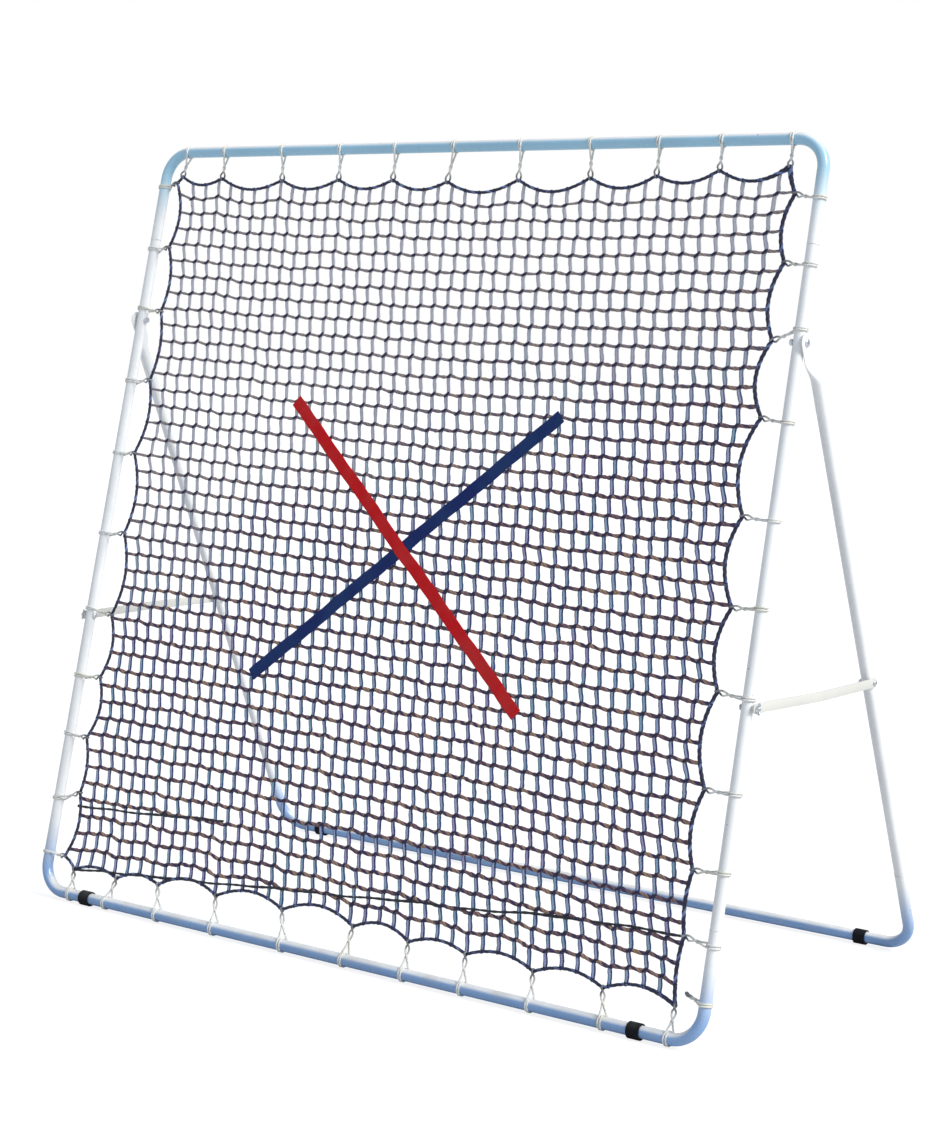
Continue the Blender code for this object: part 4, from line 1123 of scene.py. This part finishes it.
def make_row_twine():
    """Two dark strands laid round a cream and brown one, which shows every half turn. The cream and
    brown are painted warm sunlight on navy twine, and the grooves between strands are painted
    shade; all is bleached paler towards the upper left."""
    material, tree, shader, place, flat = new_finish("row_twine")
    lay = place_group(tree, cord_lay, Lay=flat, Strands=3.0, Turns=90.0)
    dark = blend_colour(tree, mottle(tree, place, 21.0, 3.0, 0.35, 0.65), ROW_DARK, ROW_DARK_BROWN)
    # The pale strand's colour is painted warm sunlight
    pale = blend_colour(tree, mottle(tree, place, 13.0, 2.0, 0.4, 0.6), ROW_SUNLIT_CREAM, ROW_SUNLIT_BROWN)
    colour = blend_colour(tree, spread_over(tree, lay["Strand"], 0.3, 0.32), dark, pale)
    faded = product(tree, place_group(tree, bleached, Place=place)["Share"], 0.65)
    colour = blend_colour(tree, faded, colour, ROW_FADED)
    # Painted shade in the grooves between strands
    groove_shade = spread_over(tree, lay["Height"], 0.0, 0.5)
    wire(tree, shader, {"Base Color": blend_colour(tree, groove_shade, ROW_GROOVE_SHADE, colour), "Roughness": 0.6,
                        "Normal": relief(tree, lay["Height"], 0.8, 0.0007)})
    return material


def make_column_twine():
    """A pale band between two navy sides, lying flat: the share of the way round picks which. The pale
    band is a painted reflection of the sky on the navy twine, and wanders between sky blue, teal and
    violet; the yarn grooves are painted shade, and all bleach towards the upper left."""
    material, tree, shader, place, flat = new_finish("column_twine")
    round_angle = product(tree, parts(tree, flat)[1], 2 * math.pi)
    sideways = reckon(tree, "ABSOLUTE", reckon(tree, "COSINE", round_angle))
    yarn = place_group(tree, cord_lay, Lay=flat, Strands=4.0, Turns=150.0)["Height"]
    # Navy at the sides, pale across front and back: a painted reflection of the sky
    edge = spread_over(tree, stirred(tree, sideways, place, 60.0, 0.5), 0.54, 0.70)
    teal = mottle(tree, place, 11.0, 3.0, 0.45, 0.62)
    violet = mottle(tree, place, 8.0, 2.0, 0.50, 0.66)
    pale = blend_colour(tree, violet, blend_colour(tree, teal, COLUMN_REFLECTED_SKY, COLUMN_REFLECTED_TEAL), COLUMN_REFLECTED_VIOLET)
    navy = blend_colour(tree, teal, COLUMN_NAVY, COLUMN_DEEP_TEAL)
    # Painted shade in the yarn grooves
    groove_shade = spread_over(tree, yarn, 0.0, 0.5, 0.55, 0.0)
    colour = blend_colour(tree, groove_shade, blend_colour(tree, edge, pale, navy), navy)
    faded = product(tree, place_group(tree, bleached, Place=place)["Share"], 0.80)
    height = reckon(tree, "ADD", yarn, product(tree, edge, 1.5))
    wire(tree, shader, {"Base Color": blend_colour(tree, faded, colour, COLUMN_FADED),
                        "Roughness": 0.55, "Normal": relief(tree, height, 0.6, 0.0005)})
    return material


# Rows and columns are one navy twine in two differently lit copies: painted warm sunlight on the rows, a
# painted sky reflection on the columns
row_twine = make_row_twine()
column_twine = make_column_twine()
knot_twine = make_cord("knot_twine", 2, 90.0, KNOT_DARK, KNOT_PALE, 0.4, 30.0, KNOT_PATCH)
add_piece("net_rows", [flat_cord(row_lines, NET_BACK - ROW_FRONT, row_thick, 2, ROW_TURNS, 0.10, 8,
                                 flatness=ROW_FLATNESS)],
          row_twine, ["net_mesh"], crease=180)
add_piece("net_columns", [flat_cord(column_lines, NET_BACK + COLUMN_BEHIND, column_thick, 2, 0.0, 0.0, 8,
                                    flatness=COLUMN_FLATNESS)],
          column_twine, ["net_mesh"], crease=180)


def knot_shell(places, half_length, slants, wide, deep, front):
    """Many small spindles: an oval carried along a short slanting line, closing to its ends."""
    share = np.array([-1.0, -0.62, 0.0, 0.62, 1.0])
    girth = np.array([0.45, 0.88, 1.0, 0.88, 0.45])
    way = np.stack([np.cos(slants), 0 * slants, np.sin(slants)], axis=-1)[:, None]
    square = np.stack([-np.sin(slants), 0 * slants, np.cos(slants)], axis=-1)[:, None]
    middle = np.stack([places[:, 0], 0 * slants - front, places[:, 1]], axis=-1)[:, None]
    middle = middle + way * (half_length[:, None] * share)[..., None]
    return shell(rings_round(middle, square * wide, deep * Y_WAY, girth, 6))


inner_knots = knots[1:-1, 1:-1].reshape(-1, 2)
inner_slants = KNOT_SLANT + chance.normal(0, math.radians(7), len(inner_knots))
inner_lengths = KNOT_HALF_LENGTH * (1 + 0.12 * chance.normal(0, 1, len(inner_knots)).clip(-2, 2))
inner = knot_shell(inner_knots, inner_lengths, inner_slants, KNOT_WIDE, KNOT_DEEP, KNOT_FRONT - NET_BACK)
level_hitches = np.concatenate([knots[0, 1:-1], knots[-1, 1:-1]])
upright_hitches = np.concatenate([knots[1:-1, 0], knots[1:-1, -1]])
hitches = [knot_shell(places, np.full(len(places), HITCH_HALF_LENGTH),
                      slant + chance.normal(0, math.radians(12), len(places)), HITCH_WIDE, HITCH_DEEP, 0.0)
           for places, slant in ((level_hitches, 0.0), (upright_hitches, math.pi / 2))]
add_piece("net_knots", [inner, *hitches], knot_twine, ["net_mesh"], crease=180)

# Lacing cords
# Two lengths of thin black cord threaded in and out of the meshes near the bottom, to take up slack.
# Each is tied at the border ropes.
LACING_RADIUS = 0.0027
LACING_WEAVE = 0.0018
LACING_FRONT = 0.0012
LACING_WANDER = 0.0015
LACING_LONG = ((-.810, .058), (-.600, .078), (-.380, .0975), (-.230, .1125), (-.105, .126), (-.015, .130),
               (.150, .150), (.290, .1575), (.500, .181), (.675, .1925), (.826, .197))
LACING_SHORT = ((-.834, .204), (-.700, .211), (-.560, .222), (-.380, .2375))
LACING_STATIONS = 400
LACING_BLACK = (0.006, 0.007, 0.016)
LACING_GREY = (0.018, 0.020, 0.045)
LACING_PATCH = (0.010, 0.011, 0.020)
lacing_twine = make_cord("lacing_twine", 2, 80.0, LACING_BLACK, LACING_GREY, 0.4, 18.0, LACING_PATCH)


def lacing_shell(points):
    """Straight lines through the points, spaced evenly, with the corners rounded off by neighbours
    and a small wander of two sines; it swings to the back and the front at every other column."""
    line, _ = spaced_evenly(np.array(points), LACING_STATIONS)
    for _ in range(60):
        line[1:-1] = (line[:-2] + 2 * line[1:-1] + line[2:]) / 4
    swing = np.sin(2 * np.pi * line[:, 0] * NET_COLUMNS / FRAME_HEIGHT / 2)
    line[:, 1] += LACING_WANDER * np.sin(37 * line[:, 0]) * np.sin(11 * line[:, 0])
    thick = LACING_RADIUS * (0.9 + 0.25 * np.sin(9 * line[:, 0]) ** 2)
    return flat_cord(line, NET_BACK - LACING_FRONT + LACING_WEAVE * swing, thick, 2, 40.0, 0.14, 8)


add_piece("lacing_cords", [lacing_shell(LACING_LONG), lacing_shell(LACING_SHORT)], lacing_twine,
          ["net_mesh"], crease=180)

# Ties
# White elastic cord, eleven along each side. Each is a loop: twice round the tube, twice across
# itself on the way in, and round the border rope, whose dye has rubbed off onto it.
TIE_RADIUS = 0.0021
TIE_PRESSED = 0.78
TIE_TURNS = 2
TIE_STRAND_TURN = TUBE_RADIUS + TIE_PRESSED * TIE_RADIUS
TIE_LEAVES = math.radians(73)
TIE_SHIFT = 0.0038
TIE_UNEVEN = 0.0006
TIE_EYE = ROPE_RADIUS + TIE_RADIUS
TIE_STAGES = (0.0, 0.45, 0.62, 0.82, 1.0)
TIE_CROSSING = (0.0024, 0.0022)
TIE_SAG = 0.0015
TIE_SIDES = 10
TIE_TUBE_STATIONS = 52
# Where each tie goes round its tube: across for the top and bottom, up for the two sides
TOP_FEET = (-.8350, -.7152, -.5343, -.3568, -.1942, -.0282, .1543, .3369, .5094, .6604, .8240)
BOTTOM_FEET = (-.8080, -.6920, -.5293, -.3568, -.1543, .0183, .1809, .3335, .5045, .6787, .8300)
LEFT_FEET = (.0852, .2130, .3673, .5067, .6685, .8519, 1.0493, 1.2269, 1.4075, 1.5555, 1.7114)
RIGHT_FEET = (.0790, .1898, .3308, .4835, .6693, .8469, 1.0211, 1.2186, 1.4075, 1.5389, 1.6766)
# The lowest tie of the right side, which isn't hooked on to the rope, and the knot at its end
LOOSE_END = (.8580, .0900)
LOOSE_EYE = 0.0024
LOOSE_KNOT = (0.0060, 0.0046, 0.0046)
LOOSE_KNOT_SLANT = -0.6
ELASTIC_WHITE = (0.94, 0.94, 0.91)
ELASTIC_GOLDEN_SHADE = (0.86, 0.84, 0.74)
ELASTIC_TRACER = (0.06, 0.10, 0.12)
ELASTIC_STAIN = (0.035, 0.050, 0.085)


def tie_loops(feet, heads, inward, eyes, shifts):
    """Closed lines. A helix round the tube from where one strand leaves it to where the other does;
    two strands that face each other across the way in, closing to a crossing and opening again into
    an eye, by straight stages of distance and angle; and half a circle round the rope."""
    feet, heads = (np.insert(value, 1, 0.0, axis=1)[:, None] for value in (feet, heads))
    inward, front = np.insert(np.array(inward), 1, 0.0), -Y_WAY
    along = np.cross(inward, front)
    angle = np.linspace(TIE_LEAVES, 2 * np.pi * TIE_TURNS - TIE_LEAVES, TIE_TUBE_STATIONS)
    climb = np.linspace(-1, 1, TIE_TUBE_STATIONS)
    circle = np.outer(np.cos(angle), inward) + np.outer(np.sin(angle), front)
    round_tube = feet + TIE_STRAND_TURN * circle + np.outer(shifts, climb)[..., None] * along
    share = np.linspace(0, 1, 24)[1:-1]
    across = TIE_STRAND_TURN * math.sin(TIE_LEAVES)
    apart, facing = [], []
    for begin, turn_from, eye in zip(np.hypot(shifts, across), np.arctan2(across, -shifts), eyes):
        apart.append(np.interp(share, TIE_STAGES, [begin, *TIE_CROSSING, 0.9 * eye, eye]))
        facing.append(np.interp(share, TIE_STAGES, [turn_from, turn_from, turn_from + np.pi, 2 * np.pi,
                                                    2.5 * np.pi]))
    apart, facing = np.array(apart)[..., None], np.array(facing)[..., None]
    leave = feet + TIE_STRAND_TURN * math.cos(TIE_LEAVES) * inward
    middle = leave + (heads - leave) * share[:, None]
    middle[..., 2] -= TIE_SAG * np.sin(np.pi * share)
    side_way = apart * (np.cos(facing) * along + np.sin(facing) * front)
    half = np.linspace(0, np.pi, 11)
    round_rope = heads + eyes[:, None, None] * (np.outer(np.sin(half), inward)
                                                - np.outer(np.cos(half), front))
    loop = np.concatenate([round_tube, middle - side_way, round_rope, (middle + side_way)[:, ::-1]], axis=1)
    return (np.roll(loop, 1, axis=1) + 4 * loop + np.roll(loop, -1, axis=1)) / 6, along


def tie_shell(loop, reference):
    """Elastic along closed lines, round but pressed flatter where it lies on the tube. Its first
    spoke is the part of a reference direction that is square to the line."""
    step = unit(np.roll(loop, -1, axis=1) - np.roll(loop, 1, axis=1))
    first = unit(reference - np.sum(reference * step, axis=2, keepdims=True) * step)
    pressed = np.ones((loop.shape[1], 1))
    pressed[2:TIE_TUBE_STATIONS - 2] = TIE_PRESSED
    rings = rings_round(loop, first, np.cross(step, first) * pressed, TIE_RADIUS, TIE_SIDES)
    return shell(rings, looped=True, girth=2 * np.pi * TIE_RADIUS)


def make_crossed_threads():
    """Two sets of threads that cross: the height is the higher of |sin pi (v a + u b)| and
    |sin pi (v a - u b)|, and the face says which set is on top."""
    group, given, result = new_group("crossed_threads", {"Lay": "Vector", "Across": "Float",
                                                         "Along": "Float"}, ["Height", "Face"])
    lay = parts(group, given["Lay"])
    across, along = product(group, lay[1], given["Across"]), product(group, lay[0], given["Along"])
    heights = [reckon(group, "ABSOLUTE", reckon(group, "SINE", product(
        group, reckon(group, sign, across, along), math.pi))) for sign in ("ADD", "SUBTRACT")]
    wire(group, result, {"Height": reckon(group, "MAXIMUM", *heights),
                         "Face": reckon(group, "GREATER_THAN", *heights)})
    return group


crossed_threads = make_crossed_threads()


def make_elastic():
    """Braided white elastic with one dark tracer thread, golden-grey patches and grey grooves that are
    painted shade, and stained navy near the rope, by the distance from it that each point carries."""
    material, tree, shader, place, flat = new_finish("white_elastic")
    braid = place_group(tree, crossed_threads, Lay=flat, Across=900.0, Along=700.0)
    lay = parts(tree, flat)
    spiral = reckon(tree, "ADD", product(tree, lay[1], 88.4), product(tree, lay[0], 30.0))
    tracer = reckon(tree, "LESS_THAN", reckon(tree, "FRACT", spiral), 0.09)
    # Golden-grey patches of painted shade on the white
    colour = blend_colour(tree, mottle(tree, place, 9.0, 3.0, 0.35, 0.65), ELASTIC_WHITE,
                          ELASTIC_GOLDEN_SHADE)
    colour = blend_colour(tree, product(tree, tracer, braid["Face"]), colour, ELASTIC_TRACER)
    from_rope = add_node(tree, "Attribute", {}, attribute_name="from_rope")["Fac"]
    from_rope = stirred(tree, from_rope, place, 45.0, 0.03)
    colour = blend_colour(tree, spread_over(tree, from_rope, 0.019, 0.005, 0.0, 0.80), colour,
                          ELASTIC_STAIN)
    # Painted shade in the braid's grooves
    groove_shade = spread_over(tree, braid["Height"], 0.35, 0.85, 0.62, 1.0)
    wire(tree, shader, {"Base Color": shade_colour(tree, colour, groove_shade), "Roughness": 0.6,
                        "Normal": relief(tree, braid["Height"], 0.7, 0.0004)})
    return material


elastic = make_elastic()
for side, tube_places, points, inward in (("top", TOP_FEET, TOP_POINTS, (0.0, -1.0)),
                                          ("right", RIGHT_FEET, RIGHT_POINTS, (-1.0, 0.0)),
                                          ("bottom", BOTTOM_FEET, BOTTOM_POINTS, (0.0, 1.0)),
                                          ("left", LEFT_FEET, LEFT_POINTS, (1.0, 0.0))):
    feet = side_points([(place, 0.0) for place in tube_places], side)
    heads = side_points(points, side)
    eyes = np.full(len(feet), TIE_EYE)
    if side == "right":
        heads = np.concatenate([[LOOSE_END], heads])
        eyes[0] = LOOSE_EYE
    shifts = TIE_SHIFT + TIE_UNEVEN * chance.normal(0, 1, len(feet)).clip(-1.5, 1.5)
    loops, along = tie_loops(feet, heads, inward, eyes, shifts)
    cords = [tie_shell(loops, along)]
    from_heads = np.linalg.norm(loops - np.insert(heads, 1, 0.0, axis=1)[:, None], axis=2)
    carried = np.repeat(from_heads.ravel(), TIE_SIDES)
    if side == "right":
        cords.append(knot_shell(heads[:1], np.array([LOOSE_KNOT[0]]), np.array([LOOSE_KNOT_SLANT]),
                                *LOOSE_KNOT[1:], 0.0))
        carried = np.concatenate([carried, np.zeros(len(cords[1][0]))])
    ties = add_piece(f"{side}_ties", cords, elastic, [f"{side}_edge_rope"], crease=180)
    ties.data.attributes.new("from_rope", "FLOAT", "POINT").data.foreach_set("value", carried)

# Target straps
# Two lengths of flat woven webbing laid across the net's middle, the red one over the navy one. Their
# ends are cut square, sealed with heat, and stitched through to the net behind with matching thread.
STRAP_WIDTH = 0.030
STRAP_THICK = 0.0015
STRAP_FRONT = 0.0023
STRAP_CENTRE = 0.887
STRAP_HALF_SPAN = 0.366
STRAP_HALF_RISE = 0.317
STRAP_LIFT = 0.0018
STRAP_LIFT_FROM = 0.060
STRAP_LIFT_OVER = 0.030
STRAP_SIDES = 24
STRAP_STATIONS = 180
STRAP_END = np.array([0.0, 0.0003, 0.001, 0.002])
STITCH_ROWS = np.array([0.010, 0.022])
STITCH_HALF_LENGTH = 0.0011
STITCH_RADIUS = 0.0004
STITCHES = 9
strap_length = 2 * math.hypot(STRAP_HALF_SPAN, STRAP_HALF_RISE)
# Each webbing's painted shade in its grooves, its colour on its threads, and where it has worn or taken a
# second dye
RED_WEBBING = ((0.43, 0.002, 0.004), (0.68, 0.007, 0.011), (0.64, 0.028, 0.028))
NAVY_WEBBING = ((0.005, 0.008, 0.055), (0.012, 0.032, 0.165), (0.018, 0.053, 0.183))


def on_strap(rise, lifted, run, across):
    """The place at a distance along and a distance across, on the middle layer of a strap that runs
    up or down to the right: it lifts over the cross, and has small waves and drifts sideways."""
    wave = 0.0003 * (1 + np.sin(2 * np.pi * run / 0.053)) + 0.0002 * np.sin(run / 0.017 + across / 0.006)
    drift = 0.0006 * np.sin(run / 0.041) + 0.0004 * np.sin(run / 0.0137)
    from_cross = np.abs(run - strap_length / 2)
    lift = lifted * STRAP_LIFT * np.clip((STRAP_LIFT_FROM - from_cross) / STRAP_LIFT_OVER, 0, 1)
    way = np.array([STRAP_HALF_SPAN, rise * STRAP_HALF_RISE]) * 2 / strap_length
    start = np.array([-STRAP_HALF_SPAN, STRAP_CENTRE - rise * STRAP_HALF_RISE])
    plane = start + run[..., None] * way + (across + drift)[..., None] * [-way[1], way[0]]
    return np.stack([plane[..., 0], -STRAP_FRONT - STRAP_THICK / 2 - lift - wave, plane[..., 1]], axis=-1)


def strap_shell(rise, lifted):
    """A long flat oval carried along the strap: across = half width x |cos| ^ 0.8 and thickness =
    half thickness x |sin| ^ 0.35, with the last millimetre drawn in where it was melted."""
    run = np.concatenate([STRAP_END, np.linspace(0.004, strap_length - 0.004, STRAP_STATIONS),
                          strap_length - STRAP_END[::-1]])[:, None]
    way = once_round(STRAP_SIDES) + np.pi / STRAP_SIDES
    across = STRAP_WIDTH / 2 * np.sign(np.cos(way)) * np.abs(np.cos(way)) ** 0.8
    thick = STRAP_THICK / 2 * np.sign(np.sin(way)) * np.abs(np.sin(way)) ** 0.35
    from_end = np.minimum(run, strap_length - run)
    grid = on_strap(rise, lifted, run + 0 * way, across * (1 - 0.03 * np.exp(-from_end / 0.0008)))
    grid[..., 1] += thick * (1 - 0.4 * np.exp(-from_end / 0.0006))
    return shell(grid, girth=2 * (STRAP_WIDTH + STRAP_THICK))


def stitch_shell(rise, lifted):
    """Short round-ended threads lying across the strap in rows near both ends."""
    share = np.linspace(-1, 1, 7)
    run, middle, along = np.meshgrid(np.concatenate([STITCH_ROWS, strap_length - STITCH_ROWS]),
                                     np.linspace(-0.38, 0.38, STITCHES) * STRAP_WIDTH, share, indexing="ij")
    line = on_strap(rise, lifted, run, middle + along * STITCH_HALF_LENGTH)
    line[..., 1] -= STRAP_THICK / 2 - 0.0002 + 0.0003 * (1 - along ** 2)
    line = line.reshape(-1, len(share), 3)
    step = unit(np.gradient(line, axis=1))
    first = unit(np.cross(step, Y_WAY))
    radius = STITCH_RADIUS * np.sqrt(1 - 0.9 * share ** 4)
    return shell(rings_round(line, first, np.cross(step, first), radius, 6))


def make_webbing(name, dark, light, glow):
    """Woven tape: crossed threads, painted shade between them, fuzz on top, and colour that wanders
    towards a second dye."""
    material, tree, shader, place, flat = new_finish(name)
    weave = place_group(tree, crossed_threads, Lay=flat, Across=330.0, Along=190.0)
    colour = blend_colour(tree, mottle(tree, place, 17.0, 4.0, 0.36, 0.66), light, glow)
    # Painted shade: the weave's low places take the dark colour
    colour = blend_colour(tree, spread_over(tree, weave["Height"], 0.25, 0.95), dark, colour)
    fuzz = mottle(tree, place, 420.0, 2.0, 0.55, 0.75, 0.0, 0.35)
    wire(tree, shader, {"Base Color": blend_colour(tree, fuzz, colour, glow), "Specular IOR Level": 0.15,
                        "Roughness": spread_over(tree, weave["Face"], 0.0, 1.0, 0.55, 0.70),
                        "Normal": relief(tree, weave["Height"], 0.8, 0.0006)})
    return material


for word, rise, lifted, colours in (("red", -1, 1, RED_WEBBING), ("navy", 1, 0, NAVY_WEBBING)):
    add_piece(f"{word}_strap_webbing", [strap_shell(rise, lifted), stitch_shell(rise, lifted)],
              make_webbing(f"{word}_webbing", *colours), [f"{word}_strap"], crease=50)

# Light and floor
# A low sun off the right, as a soft key, with the sky's blue in every shade, and a pale floor that
# throws both back up.
FLOOR_HALF = 30.0
SUN_WAY = (0.80, 0.10, 0.66)
SUN_STRENGTH = 3.1
SUN_SPREAD = math.radians(28)
SUN_COLOUR = (1.0, 0.985, 0.96)
SKY = (0.46, 0.505, 0.58)
WHITE = (1.0, 1.0, 1.0)
FLOOR_SHADED = (0.24, 0.235, 0.23)
FLOOR_PALE = (0.26, 0.255, 0.25)
FLOOR_THROWS = (0.60, 0.60, 0.60)
FLOOR_GLOW = 0.83

sun = bpy.data.lights.new("sun_lamp", "SUN")
sun.energy = SUN_STRENGTH
sun.angle = SUN_SPREAD
sun.color = SUN_COLOUR
sun_holder = bpy.data.objects.new("sun_lamp", sun)
sun_holder.rotation_euler = Vector(SUN_WAY).to_track_quat("Z", "Y").to_euler()
scene.collection.objects.link(sun_holder)


def make_floor():
    """A wide level sheet with a pale, faintly mottled finish, which shows hardly any shadow."""
    material, tree, shader, place, _ = new_finish("pale_floor")
    seen = add_node(tree, "LightPath", {})["Is Camera Ray"]
    pale = blend_colour(tree, mottle(tree, place, 0.8, 3.0, 0.3, 0.7), FLOOR_SHADED, FLOOR_PALE)
    wire(tree, shader, {"Base Color": blend_colour(tree, seen, FLOOR_THROWS, pale), "Roughness": 0.7,
                        "Specular IOR Level": 0.1, "Emission Color": WHITE,
                        "Emission Strength": product(tree, seen, FLOOR_GLOW)})
    mesh = bpy.data.meshes.new("floor")
    corners = FLOOR_HALF * np.array([[-1, -1, 0], [1, -1, 0], [1, 1, 0], [-1, 1, 0]])
    mesh.from_pydata(corners, [], [[0, 1, 2, 3]])
    mesh.materials.append(material)
    floor = bpy.data.objects.new("floor", mesh)
    scene.collection.objects.link(floor)


make_floor()
world = bpy.data.worlds.new("studio")
world.use_nodes = True
sky_tree = world.node_tree
seen = add_node(sky_tree, "LightPath", {})["Is Camera Ray"]
wire(sky_tree, sky_tree.nodes["Background"], {"Color": blend_colour(sky_tree, seen, SKY, WHITE)})
scene.world = world
scene.view_settings.view_transform = "Standard"
